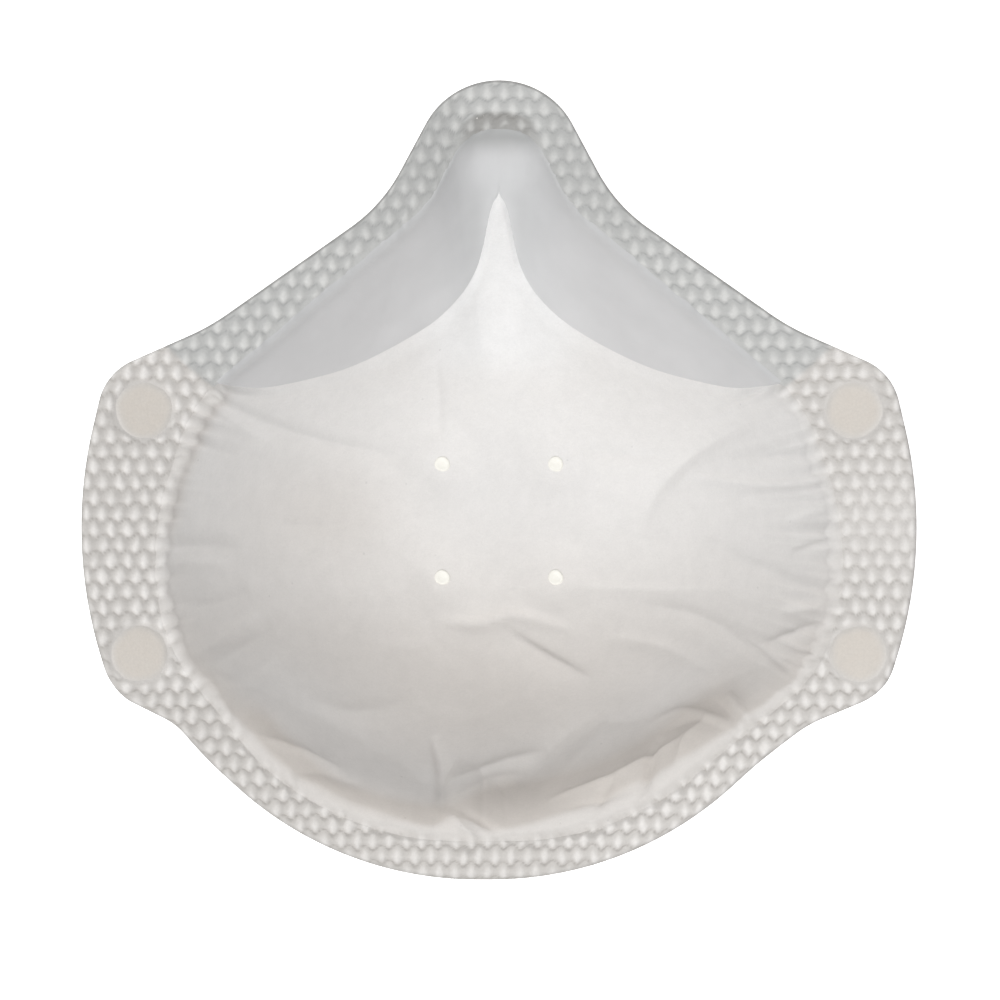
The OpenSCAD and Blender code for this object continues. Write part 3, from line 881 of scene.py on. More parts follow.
# Creases of the loose liner, in plan: points, height, width on the left of the line, width on its right
CREASES = [
    ([(-51.8, 17.3), (-44.9, 12.4), (-36.2, 9.1), (-27.6, 6.9), (-16.4, 4.1)], 0.8, 1.2, 2.6),
    ([(-50.9, 14.1), (-46.2, 10.4), (-41.1, 7.2)], -0.4, 1.2, 1.6),
    ([(-54.9, 8.6), (-50.9, 5.9), (-45.6, 4.5)], 0.35, 1.2, 1.8),
    ([(-57.6, -11.4), (-52.1, -11.0), (-44.9, -11.9)], 0.45, 1.4, 2.4),
    ([(-56.9, -14.8), (-51.8, -14.1), (-46.2, -14.7)], -0.35, 1.2, 1.8),
    ([(-57.3, -22.1), (-49.7, -21.2), (-43.8, -19.0)], 0.5, 1.2, 2.4),
    ([(-53.5, -31.7), (-48.0, -27.6), (-42.4, -23.1)], -0.7, 1.2, 2.2),
    ([(-51.8, -33.5), (-45.9, -29.7), (-39.7, -26.2)], 0.5, 1.2, 2.2),
    ([(-48.3, -40.7), (-43.5, -36.2), (-38.7, -31.4)], -0.6, 1.1, 2.0),
    ([(-42.8, -43.7), (-34.5, -47.3), (-27.3, -50.4)], 1.0, 0.6, 1.0),
    ([(-36.2, -50.4), (-29.3, -51.1), (-23.8, -53.1)], -0.7, 0.6, 0.9),
    ([(-10.4, -57.3), (-10.2, -50.9), (-11.7, -44.9)], -1.0, 0.7, 1.6),
    ([(-9.3, -52.8), (-0.9, -50.2), (8.3, -47.1)], 0.9, 0.8, 1.4),
    ([(-8.3, -55.2), (-1.7, -52.6), (5.2, -51.1)], 0.4, 0.7, 1.2),
    ([(0.0, -54.5), (6.9, -49.0), (12.1, -44.5), (19.0, -39.9)], -0.75, 2.0, 2.8),
    ([(6.9, -54.5), (13.8, -48.7), (20.0, -41.4)], 0.35, 1.8, 1.8),
    ([(8.3, -55.9), (17.6, -52.8), (25.9, -48.7), (34.2, -43.7)], 1.2, 0.5, 0.9),
    ([(11.4, -57.3), (19.3, -54.5), (27.6, -50.7)], -0.8, 0.5, 0.8),
    ([(23.1, -57.3), (25.5, -51.1), (28.3, -44.9)], -1.2, 0.5, 0.9),
    ([(15.5, -58.3), (17.9, -54.5), (21.1, -51.1)], -0.9, 0.5, 0.8),
    ([(30.4, -49.7), (32.8, -45.2), (36.9, -40.7)], 0.9, 0.6, 0.9),
    ([(26.2, -42.8), (33.1, -40.4), (42.8, -42.8)], 0.6, 0.6, 1.6),
    ([(28.3, -44.2), (34.5, -42.1), (41.8, -44.2)], -0.45, 0.5, 0.9),
    ([(-9.5, -57.3), (-5.9, -60.0), (-1.7, -63.2)], 0.9, 0.5, 0.9),
    ([(-8.3, -56.3), (-3.8, -58.7), (1.0, -61.1)], -0.8, 0.5, 0.8),
    ([(36.6, -10.0), (44.9, -14.3), (51.8, -17.3), (57.6, -21.1)], 0.7, 1.2, 2.4),
    ([(49.3, -22.8), (58.3, -21.2)], -0.9, 0.8, 1.2),
    ([(46.6, -28.6), (51.8, -26.6), (56.6, -24.5)], 0.9, 0.7, 1.1),
    ([(45.6, -29.0), (49.3, -32.4), (52.8, -35.5)], -0.9, 0.7, 1.1),
    ([(40.0, -36.9), (42.4, -40.4), (44.9, -44.2)], 0.9, 0.6, 1.0),
    ([(37.3, -38.0), (39.7, -41.1), (41.8, -44.5)], -0.7, 0.6, 0.9),
    ([(48.3, 12.2), (39.5, 8.0), (32.8, 3.6), (27.6, -2.2), (25.0, -10.0)], -1.2, 1.6, 4.5),
    ([(10.7, 5.9), (20.7, 5.2), (31.7, 4.0)], 0.55, 1.2, 1.6),
    ([(32.8, 1.0), (44.2, -0.7), (51.8, -0.7), (58.7, 0.3)], -1.1, 1.0, 1.1),
    ([(41.1, 3.8), (49.3, 4.8), (56.3, 4.1)], 0.8, 1.2, 1.2),
    ([(50.0, -6.9), (54.4, -5.5), (58.3, -5.9)], -0.6, 0.7, 1.0),
    ([(51.1, -12.4), (55.2, -11.0), (58.3, -10.0)], 0.8, 0.5, 0.9),
    ([(-12.1, -24.5), (-3.5, -25.0), (2.1, -23.5), (8.3, -24.8), (13.1, -26.6)], -1.2, 0.7, 1.4),
    ([(0.0, -25.7), (3.8, -28.1), (9.0, -31.4), (16.6, -35.2)], 1.0, 0.7, 2.6),
    ([(24.2, -21.7), (35.2, -23.8), (44.2, -29.0), (51.4, -34.9)], 0.7, 1.4, 2.0),
    ([(19.0, -27.6), (29.0, -29.3), (37.3, -33.8)], -0.6, 1.5, 2.0),
    ([(-8.6, -19.0), (10.4, -18.6), (27.6, -19.3), (42.1, -19.0)], -0.45, 1.2, 2.2),
    ([(-34.5, -38.0), (-25.5, -40.7), (-15.5, -39.0)], 0.5, 1.8, 2.6),
    ([(-25.5, -27.6), (-15.5, -29.7), (-8.3, -27.6)], -0.25, 1.8, 2.6),
    ([(-41.1, -6.9), (-32.4, -7.9), (-24.2, -6.6)], 0.4, 2.0, 2.6),
    ([(-11.4, 22.4), (-10.7, 13.8), (-10.4, 5.5)], 0.35, 0.8, 1.6),
    ([(11.6, 13.5), (10.9, 8.3), (10.4, 3.8)], 0.3, 0.8, 1.4),
    ([(-9.3, 13.1), (0.0, 13.8), (10.7, 13.1)], -0.25, 0.8, 1.4),
]


def strip_width(angle):
    """Width of the flat strip of liner beside the rim."""
    right, left = (np.interp(folded(angle), *np.array(s, float).T) for s in (STRIP_RIGHT, STRIP_LEFT))
    return np.where(angle > 90.0, left, right)


def rounded(z, reach):
    """A row of heights, softened over a number of its points to each side."""
    kernel = np.hanning(2 * reach + 3)
    padded = np.pad(z, reach + 1, mode="edge")
    return np.convolve(padded, kernel / kernel.sum(), mode="valid")


def liner_profile(ring, rows, lap=1.0):
    """Plain liner: distances and heights, rows by columns, from its hem on the rim to the middle."""
    out_r, out_z = np.zeros((rows, len(ring))), np.zeros((rows, len(ring)))
    hem = lap * (1.3 + 0.2 * np.sin(np.radians(ring * 7.0)) + 0.2 * np.sin(np.radians(ring * 17.0 + 40.0)))
    width = strip_width(ring) * (1 + 0.2 * fractal(ring, ring * 0, 16.0, 1, 4.0))
    for c, angle in enumerate(ring):
        mouth = float(mouth_r(angle))
        cosine = math.cos(math.radians(angle))
        r = np.linspace(mouth + hem[c], 0.0, PROFILE_SAMPLES)
        lip = float(rim_base(angle, mouth, mouth * cosine)) + HEM_LIFT
        wall = layer_height(angle, np.minimum(r, mouth), LINER_FACE)
        top = float(layer_height(angle, mouth, LINER_FACE))
        wall = wall + (lip - top) * (wall / top) ** 3
        out = np.clip((r - FRONT_R) / (mouth - FRONT_R), 0, 1)
        wall = wall + LINER_BILLOW * np.sin(np.pi * out ** 1.4)
        over = rim_base(angle, r, r * cosine) + HEM_LIFT - 0.5 * ramp(r - mouth, -0.6, 0.8)
        z = np.where(r > mouth, over, np.maximum(wall, over))
        inward = mouth - r
        strip = lip - np.minimum(inward, width[c]) * STRIP_SLOPE
        strip = strip - np.maximum(inward - width[c], 0) * DROP_SLOPE
        z = np.where((inward > 0) & (strip > z), strip, z)
        step = (mouth + hem[c]) / (PROFILE_SAMPLES - 1)
        z = rounded(z, max(int(PROFILE_ROUND / step), 1))
        along = run_of(r, z)
        packed = np.concatenate([[0.0], np.cumsum(np.diff(along) * (0.35 + r[1:] / mouth))])
        steps = np.interp(np.linspace(0, packed[-1], rows), packed, along)
        out_r[:, c] = np.interp(steps, along, r)
        out_z[:, c] = np.interp(steps, along, z)
    return out_r, out_z


def crease_shape(x, y):
    """Push of the listed creases on the liner, in millimetres."""
    push = np.zeros(np.shape(x))
    for points, height, left, right in CREASES:
        away, share = from_line(x, y, spline(points))
        taper = np.sin(np.pi * np.clip(share, 0.0, 1.0)) ** 0.8
        push += height * taper * np.exp(-np.abs(away / np.where(away > 0, left, right)) ** 1.4)
    return push


def pleats(angle, r):
    """Fine radial gathers where the liner leaves the rim."""
    inward = inward_of(angle, r)
    along = np.radians(folded(angle)) * 58.0
    side = np.where(angle > 90.0, 31.0, 0.0)
    wave = fractal(along, side + inward * 0.12, 3.6, 2, 5.0)
    wave = wave + 0.8 * fractal(along, side + inward * 0.07, 7.5, 1, 9.0)
    reach = np.maximum(7.0 + 5.0 * fractal(along, side, 9.0, 1, 3.0), 2.0)
    return wave * np.clip(inward / 1.5 + 0.3, 0, 1) * np.exp(-np.clip(inward, 0, None) / reach)


class DUSTMASK_OT_liner(bpy.types.Operator):
    """Loose white liner with its rolled edge, gathers and creases"""

    bl_idname = "dust_mask.liner"
    bl_label = "Inner liner"

    def face(self, name, points, looks=None):
        """One face of the liner, closed round its columns."""
        obj = surface(name, points, looks)
        edit(obj, ALL, MERGE)
        face_up(obj)
        return obj

    def fingers(self, angle, inward, sizes):
        """Short pleats that run on from the pillows into the cup at the ears."""
        ring = angle[0]
        x, y = plan(ring, mouth_r(ring) + 0.6)
        crest = pillows(x, y, sizes) - 0.3
        reach = (3.6 + 3.4 * fractal(x, y, 5.0, 1, 31.0)) * (0.72 + 0.28 * np.tanh(x / 20.0))
        ears = ramp(np.abs(folded(ring)), 38.0, 24.0)
        return FINGER_HEIGHT * crest * ears * np.exp(-np.clip(inward, 0, None) / np.maximum(reach, 0.9))

    def push(self, angle, r, ends, sizes):
        """How far the liner stands off its plain shape: creased, held by the tacks, flat under the film."""
        x, y = plan(angle, r)
        inward = inward_of(angle, r)
        push = crease_shape(x, y)
        push += GATHER_HEIGHT * pleats(angle, r) * (1 - 0.7 * ramp(angle, -34.0, -44.0))
        push += self.fingers(angle, inward, sizes)
        push += 0.4 * fractal(x, y, 21.0, 2, 1.0) + 0.08 * fractal(x, y, 4.5, 2, 2.0)
        for tx, ty in TACKS:
            held = ramp(np.hypot(x - tx, y - FRONT_Y - ty), *TACK_HOLD) ** 1.5
            push = push * (1 - held) - (LINER_SLACK + 0.05) * held
        covered = ramp(r - seal_edge_r(angle), -1.0, 2.0) * ends
        push = np.maximum(push + LINER_SLACK, -0.3) * ramp(inward, -0.195, 1.105) * (1 - covered)
        push[-1] = push[-2].mean()
        return push

    def shade(self, angle, r):
        """Painted shade of the liner: a painted highlight under the nose, painted shade toward the chin, in
        the folds, at the left and along the inner edge of the left ear.
        """
        x, y = plan(angle, r)
        inward = inward_of(angle, r)
        out = np.clip((r / 46.0) ** 2, 0, 1)
        side = ramp(x, -14.0, 4.0)
        low = ramp(y, 2.0, -48.0) * (0.55 + 0.45 * ramp(inward - strip_width(angle), -0.3, 0.7))
        wall = out ** 2 * ramp(y, -25.0, -37.0) * (1 - side * ramp(r, 41.0, 49.0))
        low *= 1 - (0.3 * out + 0.4 * wall) * ramp(inward, 0.0, 6.0)
        fold = (0.4 + 0.1 * side) * hill(inward, 3.4 + 2.8 * side, 1.8 + 0.8 * side)
        fold *= ramp(folded(angle), -32.0, -44.0)
        # Painted shade at the left, and a painted shadow along the inner edge of the left ear
        left_shade = hill(x, -30.0, 15.0) * hill(y, -5.0, 10.0)
        seam_shadow = hill(inward, 1.2, 1.3) * ramp(angle, 150.0, 158.0) * ramp(angle, 186.0, 178.0)
        # Painted highlight under the nose: less painted shade there
        peak = ramp(y, 16.0, 25.0) * ramp(np.abs(x), 18.0, 8.0)
        return (0.3 + 0.7 * low + 0.28 * left_shade + 0.35 * seam_shadow + fold) * (1 - 0.8 * peak)

    def execute(self, context):
        sizes, colours = settings()
        ring = stations(LINER_COLUMNS)
        r, z = liner_profile(ring, LINER_ROWS)
        angle = np.repeat(ring[None, :], LINER_ROWS, axis=0)
        base = np.dstack([*plan(angle, r), z])
        normal = grid_normals(base)
        inward = inward_of(angle, r)
        ends = ramp(folded(angle), SEAL_END - 1.0, SEAL_END + 1.0)
        hem = ramp(inward, 2.0, 0.0)
        loft, tone = embossing(angle, r, sizes)
        points = base + normal * self.push(angle, r, ends, sizes)[:, :, None]
        points[:, :, 2] += loft * sizes.pillow_height / MM - HEM_SINK * ends * hem
        # shade holds the painted shade and highlight of the liner
        looks = {"shade": self.shade(angle, r), "hem": ramp(inward, 1.5, -0.5), "loft": tone}
        looks = {key: np.clip(values, 0, 1) for key, values in looks.items()}
        front = self.face("inner_liner_web", points, looks)
        back = base - normal * LINER_BACK
        back[:, :, 2] -= BACK_SINK * hem
        picked = np.unique(np.append(np.arange(0, LINER_ROWS, UNDERSIDE_STEP), LINER_ROWS - 1))
        under = self.face("liner_underside", back[picked][:, ::UNDERSIDE_STEP])
        under.data.flip_normals()
        join(front, under)
        edit(front, NONE, OPEN_EDGES, ("bridge_edge_loops", {}))
        edit(front, ALL, MERGE, OUTWARD)
        finish_piece(front, spunbond_liner(colours), "liner_web", "inner_liner")
        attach(front, "mask")
        return {"FINISHED"}


# ---- Nose seal

# Free edge of the right half of the nose seal, from the notch over the nose to its end
SEAL_EDGE = [
    (0.0, 48.0), (0.8, 47.2), (1.65, 44.7), (2.7, 39.6), (4.0, 35.4), (6.4, 31.3), (10.2, 27.4),
    (14.2, 24.6), (19.8, 21.5), (25.0, 19.2), (30.8, 17.4), (38.6, 15.7), (43.0, 15.6), (47.0, 16.2),
    (51.0, 17.8),
]
SEAL_TABLE = polar_table(even_steps(spline(SEAL_EDGE), 400))
SEAL_END = 25.6
SEAL_COLUMNS = 321
SEAL_ROWS = 46
SEAL_SAMPLES = 320
# Share of the liner's hem that the film covers, the length of the slit above the peak of the liner, and
# the least width of the film
SEAL_LAP = 0.4
SLIT = 1.7
SEAL_LEAST = 1.4
# How far the film stands off the liner, and how much more and less over its first and last stretch
FILM_OFF = 0.14
FILM_RISE = 0.28
FILM_FALL = 0.26
FILM_STRETCH = 3.0


def seal_edge_r(angle):
    """Distance of the free edge of the nose seal."""
    return np.interp(folded(angle), *SEAL_TABLE)


class DUSTMASK_OT_nose_seal(bpy.types.Operator):
    """Smooth grey film over the bridge of the nose"""

    bl_idname = "dust_mask.nose_seal"
    bl_label = "Nose seal"

    def execute(self, context):
        sizes, colours = settings()
        half = np.linspace(SEAL_END, 90.0, SEAL_COLUMNS // 2 + 1)
        ring = np.concatenate([half[:-1], 180.0 - half[::-1]])
        base_r, base_z = liner_profile(ring, SEAL_SAMPLES, SEAL_LAP)
        points = np.zeros((SEAL_ROWS, len(ring), 3))
        ridge, tuck = np.zeros((SEAL_ROWS, len(ring))), np.zeros((SEAL_ROWS, len(ring)))
        for c, angle in enumerate(ring):
            along = run_of(base_r[:, c], base_z[:, c])
            edge = float(seal_edge_r(angle)) + (SLIT if c == SEAL_COLUMNS // 2 else 0.0)
            last = max(np.interp(-edge, -base_r[:, c], along), SEAL_LEAST)
            steps = np.linspace(0, last, SEAL_ROWS)
            r, z = (np.interp(steps, along, part[:, c]) for part in (base_r, base_z))
            dr, dz = np.gradient(r), np.gradient(z)
            off = FILM_OFF + FILM_RISE * ramp(steps, 0.0, FILM_STRETCH)
            off = (off - FILM_FALL * ramp(steps - last, -FILM_STRETCH, 0.0)) / np.hypot(dr, dz)
            x, y = plan(angle, r + off * dz)
            loft, _ = embossing(np.full(SEAL_ROWS, angle), r, sizes)
            points[:, c] = np.column_stack([x, y, z - off * dr + 0.7 * loft * sizes.pillow_height / MM])
            # Painted highlight over the ridge of the nose
            ridge[:, c] = hill(x, 0.0, 9.0) * ramp(y, 60.5, 51.5)
            # Painted shade under the nose lip, along the film's top edge and on its flanks beside the liner's
            # peak
            under_lip = ramp(np.abs(x), 11.0, 3.0) * ramp(y, 54.6, 60.0)
            flank = hill(np.abs(x), 4.0, 2.3) * ramp(y, 53.0, 47.0) * ramp(y, 32.0, 40.0)
            tuck[:, c] = under_lip + 0.5 * np.exp(-steps / 2.5) + 0.34 * flank
        looks = {"ridge": ridge, "tuck": np.clip(tuck, 0, 1)}
        obj = surface("nose_seal_film", points, looks, closed=False)
        face_up(obj)
        thicken(obj, sizes.film_thickness)
        finish_piece(obj, grey_film(colours), "seal_film", "nose_seal")
        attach(obj, "mask")
        return {"FINISHED"}


# ---- Shell and filter

LAYER_SAMPLES = 300
# Added slope by which the edge of a layer bites into the rim, and the distances from a weld where it grows
LAYER_BITE = 0.08
LAYER_BITE_AT = (5.0, 8.0)


def layer_points(ring, rows, depth):
    """Grid of one face of a layer, from where it meets the underside of the rim to the middle of the front."""
    out = np.zeros((rows, len(ring), 3))
    for c, angle in enumerate(ring):
        edge = float(layer_edge(angle, depth))
        x, y = plan(angle, edge)
        r = np.linspace(edge, 0.0, LAYER_SAMPLES)
        z = layer_height(angle, r, depth)
        bite = LAYER_BITE * float(ramp(to_weld(x, y), *LAYER_BITE_AT))
        lift = RIM_LIFT - float(inward_of(angle, edge)) * (RIM_TILT + bite)
        lift -= NOSE_HOLLOW * float(nose_hollow(angle, edge, x))
        z = z + lift * (z / z.max()) ** 3
        along = run_of(r, z)
        steps = np.linspace(0, 1, rows) * along[-1]
        out[:, c, :2] = np.column_stack(plan(angle, np.interp(steps, along, r)))
        out[:, c, 2] = np.interp(steps, along, z)
    return out


class DUSTMASK_OT_shell(bpy.types.Operator):
    """Moulded outer shell and the filter web inside it"""

    bl_idname = "dust_mask.shell"
    bl_label = "Shell and filter"

    def execute(self, context):
        _, colours = settings()
        felt = moulded_felt("moulded_polyester_felt", colours.shell, 0.6, 0.09)
        web = moulded_felt("carded_electret_web", colours.filter_web, 0.4, 0.05)
        layers = (
            ("outer_shell_felt", 0.0, SHELL_T, 240, 46, felt, "shell_web", "outer_shell"),
            ("filter_web", *FILTER_FACES, 160, 30, web, "filter_web", "filter_media"),
        )
        for name, outside, inside, columns, rows, material, slot, node in layers:
            ring = stations(columns)
            inner, outer = (layer_points(ring, rows, depth) for depth in (inside, outside))
            obj = surface(name, np.concatenate([inner[::-1], outer]))
            edit(obj, ALL, MERGE, OUTWARD)
            finish_piece(obj, material, slot, node)
            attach(obj, "mask")
        return {"FINISHED"}


# ---- Welds

# Rings of points on a weld or a tack, from its edge inward, and the height of the plain disc
WELD_RINGS = (0.15, 0.15, 0.2, 0.25, 0.5, 0.7, 1.0, 1.0)
WELD_SIDES = 72
DISC_HEIGHT = 0.6
# Thickness of a weld, and how far its face lies above the underside of the rim
WELD_T = 0.5
WELD_LIFT = 0.46
TACK_RINGS = (0.12, 0.2, 0.3, 0.3)
TACK_SIDES = 40
DOT_HEIGHT = 0.3
# How far a tack stands above the plain face of the liner, and how deep its root lies
TACK_LIFT = 0.08
TACK_ROOT = 0.45


class DUSTMASK_OT_strap_welds(bpy.types.Operator):
    """Four smooth round welds that hold the straps on the rim"""

    bl_idname = "dust_mask.strap_welds"
    bl_label = "Strap welds"

    def execute(self, context):
        sizes, colours = settings()
        material = fused_weld(colours)
        for number, (node, wx, wy) in enumerate(weld_places()):
            obj, at, near, turn = disc(node + "_skin", sizes.weld_radius, WELD_SIDES, DISC_HEIGHT, WELD_RINGS)
            wobble = 1 + 0.02 * np.sin(3 * turn + number * 1.7) + 0.014 * np.sin(5 * turn + number * 2.9)
            x, y = wx + at[:, 0] * wobble, wy + at[:, 1] * wobble
            top = rim_underside(*bearing_of(x, y)) + WELD_LIFT + 0.06 * fractal(x, y, 1.8, 2, number)
            top -= 0.2 * ramp(near, 4.1, 5.0)
            set_points(obj, np.column_stack([x, y, np.where(at[:, 2] > DISC_HEIGHT / 2, top, top - WELD_T)]))
            paint(obj, "disc_edge", 0.85 * ramp(near, 3.3, 4.9))
            edit(obj, ALL, MERGE, OUTWARD)
            finish_piece(obj, material, "fused_weld", node)
            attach(obj, "mask")
        return {"FINISHED"}


class DUSTMASK_OT_tacks(bpy.types.Operator):
    """Four small spot welds that tack the liner to the filter"""

    bl_idname = "dust_mask.tacks"
    bl_label = "Spot welds"

    def execute(self, context):
        sizes, colours = settings()
        made = []
        for tx, ty in TACKS:
            obj, at, near, turn = disc(
                "liner_spot_welds", sizes.tack_radius, TACK_SIDES, DOT_HEIGHT, TACK_RINGS)
            wobble = 1 + 0.035 * np.sin(2 * turn + tx) + 0.025 * np.sin(3 * turn + ty)
            dome = 0.12 * ramp(near, 0.5, 1.1) - 0.14 * ramp(near, 1.15, 1.35)
            z = LINER_FACE + TACK_LIFT + np.where(at[:, 2] > DOT_HEIGHT / 2, dome, -TACK_ROOT)
            set_points(obj, np.column_stack([tx + at[:, 0] * wobble, FRONT_Y + ty + at[:, 1] * wobble, z]))
            edit(obj, ALL, MERGE, OUTWARD)
            made.append(obj)
        obj = join(*made)
        finish_piece(obj, tack_spot(colours), "tack_spots", "tack_welds")
        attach(obj, "mask")
        return {"FINISHED"}


# ---- Straps

# How far a strap runs back under its weld, how far beyond it the fold lies, and how far below the rim
STRAP_TAIL = 5.0
STRAP_REACH = 4.5
HINGE_DROP = 5.0
FOLD_R = 1.6
# Distances of a stowed strap from the outline of the rim and from the ground
STOW_INSET = 4.0
GROUND_GAP = 0.3
# Points of the route of half a strap, under its weld and along its loop, and rings of the whole strap
TAIL_STEPS = 8
LOOP_STEPS = 25
STRAP_RINGS = 261
RIBS = 7


def underside_at(x, y):
    """Height of the rim's underside at plan coordinates."""
    return float(rim_underside(*bearing_of(np.array(x), np.array(y))))


def hinge_of(x, weld_y, toward):
    """Place across and height of the fold of a strap."""
    hinge_y = weld_y + toward * STRAP_REACH
    return hinge_y, underside_at(x, hinge_y) - HINGE_DROP


def strap_route(x, weld_y, toward, width, thick):
    """Middle line of a whole strap, and the direction across it at each point."""
    hinge_y, hinge_z = hinge_of(x, weld_y, toward)
    start, start_r = bearing_of(np.array(x), np.array(hinge_y))
    first, last = float(start), 90.0 if toward > 0 else -90.0
    inset = float(edge_r(start) - start_r)
    tilt = (underside_at(x + width / 2, weld_y) - underside_at(x - width / 2, weld_y)) / width
    level, down = np.array([1.0, 0, 0]), np.array([0, 0, -1.0])
    flat = np.array([1.0, 0.0, tilt]) / math.hypot(1.0, tilt)
    points, across = [], []
    for along in np.linspace(-STRAP_TAIL, STRAP_REACH - FOLD_R, TAIL_STEPS):
        y = weld_y + toward * along
        points.append((x, y, underside_at(x, y) - RIM_LIFT - thick / 2))
        across.append(flat)
    _, corner_y, corner_z = points[-1]
    for turn in np.radians([30, 60, 90]):
        drop = FOLD_R * (1 - math.cos(turn))
        points.append((x, corner_y + toward * FOLD_R * math.sin(turn), corner_z - drop))
        across.append(flat + (level - flat) * math.sin(turn))
    lowest = GROUND_GAP + width / 2
    for share in np.linspace(0, 1, LOOP_STEPS):
        angle = first + (last - first) * share ** 1.6
        r = float(edge_r(angle)) - (inset + (STOW_INSET - inset) * float(ramp(share, 0.0, 0.5)))
        points.append((*map(float, plan(angle, r)), lowest + (hinge_z - lowest) * (1 - share) ** 4))
        turn = float(ramp(share, 0.0, 1.0))
        across.append(level * (1 - turn) + down * turn)
    right, across = np.array(points), np.array(across)
    left = right * (-1, 1, 1)
    if toward < 0:
        left[:, 0] += 2 * lean(right[:, 1])
    return np.vstack([left, right[-2::-1]]), np.vstack([across * (-1, 1, 1), across[-2::-1]])


def band_section(width, thick):
    """Closed section of a ribbed band: places across and through it, and how deep in a groove each lies."""
    s = np.linspace(-1, 1, RIBS * 4 + 1)
    rib = 0.5 + 0.5 * np.cos(s * math.pi * RIBS)
    edge = np.sqrt(np.clip(1 - s ** 8, 0, 1))
    height = (thick / 2) * edge * (0.88 + 0.12 * rib)
    pairs = ((s * width / 2, s * width / 2), (height, -height), (1 - rib, 1 - rib))
    return [np.concatenate([there, back[-2:0:-1]]) for there, back in pairs]


class DUSTMASK_OT_straps(bpy.types.Operator):
    """Two elastic head straps, each one band from weld to weld, stowed under the rim"""

    bl_idname = "dust_mask.straps"
    bl_label = "Head straps"

    def execute(self, context):
        sizes, colours = settings()
        material = woven_elastic(colours)
        width, thick = sizes.strap_width / MM, sizes.strap_thickness / MM
        place, through, groove = band_section(width, thick)
        for name, (x, weld_y, toward) in WELDS.items():
            route = spline(np.hstack(strap_route(x, weld_y, toward, width, thick)), 6)
            along = run_of(*route[:, :3].T)
            steps = np.linspace(0, along[-1], STRAP_RINGS)
            line, across = np.hsplit(resample(steps, along, route), 2)
            forward = np.gradient(line, axis=0)
            forward /= np.linalg.norm(forward, axis=1)[:, None]
            across = across - forward * np.sum(forward * across, axis=1)[:, None]
            across /= np.linalg.norm(across, axis=1)[:, None]
            up = np.cross(forward, across)
            points = line[:, None] + across[:, None] * place[:, None] + up[:, None] * through[:, None]
            along_mm, depth = np.meshgrid(steps, groove, indexing="ij")
            obj = surface(f"{name}_head_strap", points, {"groove": depth, "along_mm": along_mm})
            edit(obj, ALL, MERGE)
            edit(obj, NONE, OPEN_EDGES, ("fill_holes", {"sides": 0}), ALL, OUTWARD)
            finish_piece(obj, material, "elastic", f"{name}_strap", f"{name}_strap_ends")
            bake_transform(obj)
        return {"FINISHED"}


# ---- Stage

# Width of the floor, and the brightness of floor and sky
FLOOR_SIZE = 6.0
FLOOR_GLOW = 0.9
SKY = 0.38
# Lights: name, place, what it aims at, width, height, and power in watts
LIGHTS = (
    ("overhead_softbox", (-0.2, -0.42, 1.3), (0, 0, 0.03), 0.8, 0.8, 12.0),
    ("low_brow_strip", (0.0, 2.0, 0.17), (0, 0, 0.04), 1.6, 0.2, 17.0),
)
# Camera: its place in plan, the height of the rim it is measured from, and half the width it sees there
CAMERA_AT = (0.00017, -0.0034)
CAMERA_FROM = (MOUTH_Z + 4.0) * MM
HALF_VIEW = 0.085
CLIP_START = 0.05


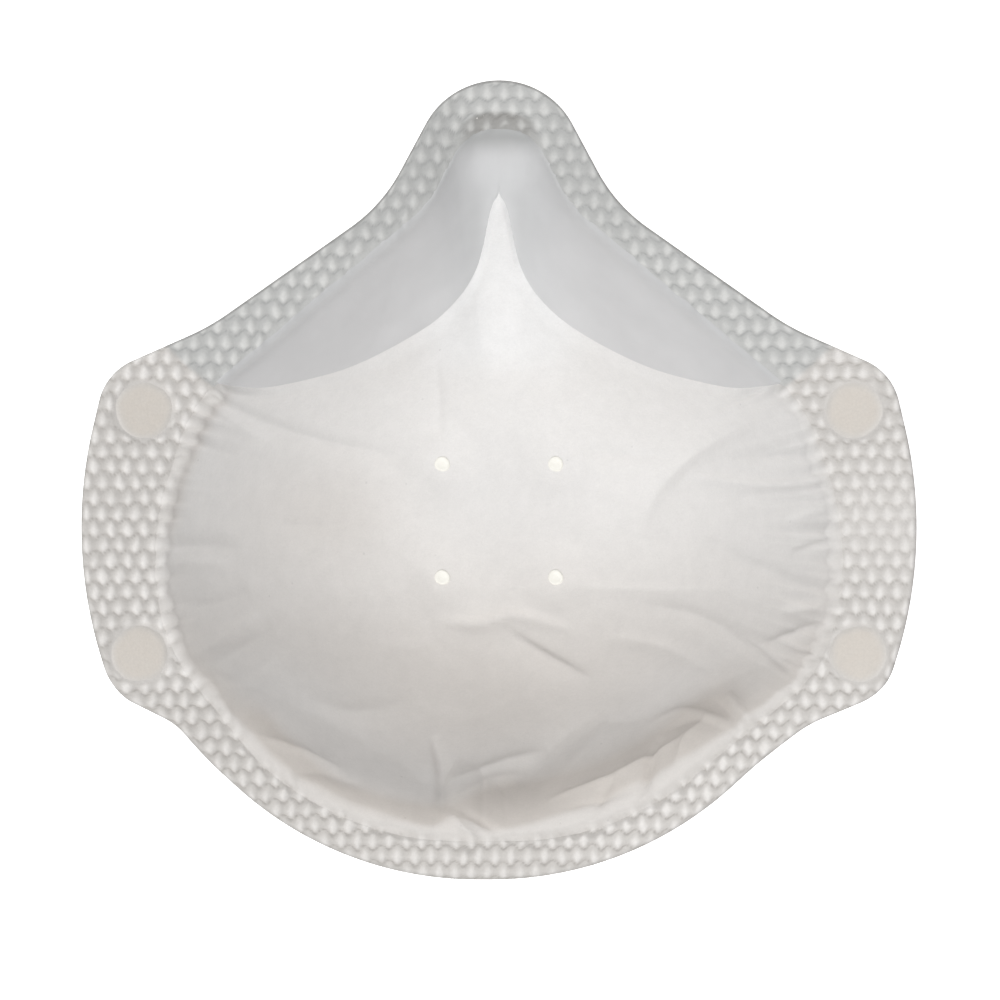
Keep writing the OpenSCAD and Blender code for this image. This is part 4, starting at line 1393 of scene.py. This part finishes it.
class DUSTMASK_OT_stage(bpy.types.Operator):
    """White light table, soft overhead light and the camera above the open cup"""

    bl_idname = "dust_mask.stage"
    bl_label = "Stage"

    def execute(self, context):
        sizes, colours = settings()
        scene = context.scene
        bpy.ops.object.select_all(action="DESELECT")
        bpy.ops.mesh.primitive_plane_add(size=FLOOR_SIZE)
        floor = context.active_object
        floor.name = "light_table"
        floor.data.materials.append(studio_floor(colours, FLOOR_GLOW))
        for name, place, aim, wide, tall, power in LIGHTS:
            bpy.ops.object.light_add(type="AREA", location=place)
            light = context.active_object
            light.name = name
            light.data.shape = "RECTANGLE"
            light.data.size = wide
            light.data.size_y = tall
            light.data.energy = power
            light.rotation_euler = (Vector(aim) - Vector(place)).to_track_quat("-Z", "Y").to_euler()
        scene.world = bpy.data.worlds.new("soft_studio")
        scene.world.use_nodes = True
        sky = scene.world.node_tree.nodes["Background"]
        sky.inputs["Color"].default_value = WHITE
        sky.inputs["Strength"].default_value = SKY
        scene.view_settings.view_transform = "Standard"
        scene.view_settings.look = "None"
        height = CAMERA_FROM + sizes.camera_height
        bpy.ops.object.camera_add(location=(*CAMERA_AT, height), rotation=(0, 0, 0))
        camera = context.active_object
        camera.name = "overhead_camera"
        camera.data.sensor_fit = "HORIZONTAL"
        camera.data.angle = 2 * math.atan(HALF_VIEW / sizes.camera_height)
        camera.data.clip_start = CLIP_START
        scene.camera = camera
        return {"FINISHED"}


class DUSTMASK_PT_panel(bpy.types.Panel):
    """Lists the pieces of the dust mask"""

    bl_idname = "DUSTMASK_PT_panel"
    bl_label = "Dust Mask"
    bl_space_type = "VIEW_3D"
    bl_region_type = "UI"
    bl_category = "Dust Mask"

    def draw(self, context):
        for kind in PIECES:
            self.layout.operator(kind.bl_idname)


PIECES = (
    DUSTMASK_OT_stage,
    DUSTMASK_OT_shell,
    DUSTMASK_OT_rim,
    DUSTMASK_OT_liner,
    DUSTMASK_OT_nose_seal,
    DUSTMASK_OT_strap_welds,
    DUSTMASK_OT_tacks,
    DUSTMASK_OT_straps,
)
CLASSES = (DustMaskSizes, DustMaskColours, DustMaskSettings, *PIECES, DUSTMASK_PT_panel)


def register():
    for kind in CLASSES:
        bpy.utils.register_class(kind)
    bpy.types.Scene.dust_mask = bpy.props.PointerProperty(type=DustMaskSettings)


def unregister():
    del bpy.types.Scene.dust_mask
    for kind in reversed(CLASSES):
        bpy.utils.unregister_class(kind)


def main():
    register()
    bpy.ops.dust_mask.stage()
    bpy.ops.dust_mask.shell()
    bpy.ops.dust_mask.rim()
    bpy.ops.dust_mask.liner()
    bpy.ops.dust_mask.nose_seal()
    bpy.ops.dust_mask.strap_welds()
    bpy.ops.dust_mask.tacks()
    bpy.ops.dust_mask.straps()


if __name__ == "__main__":
    main()
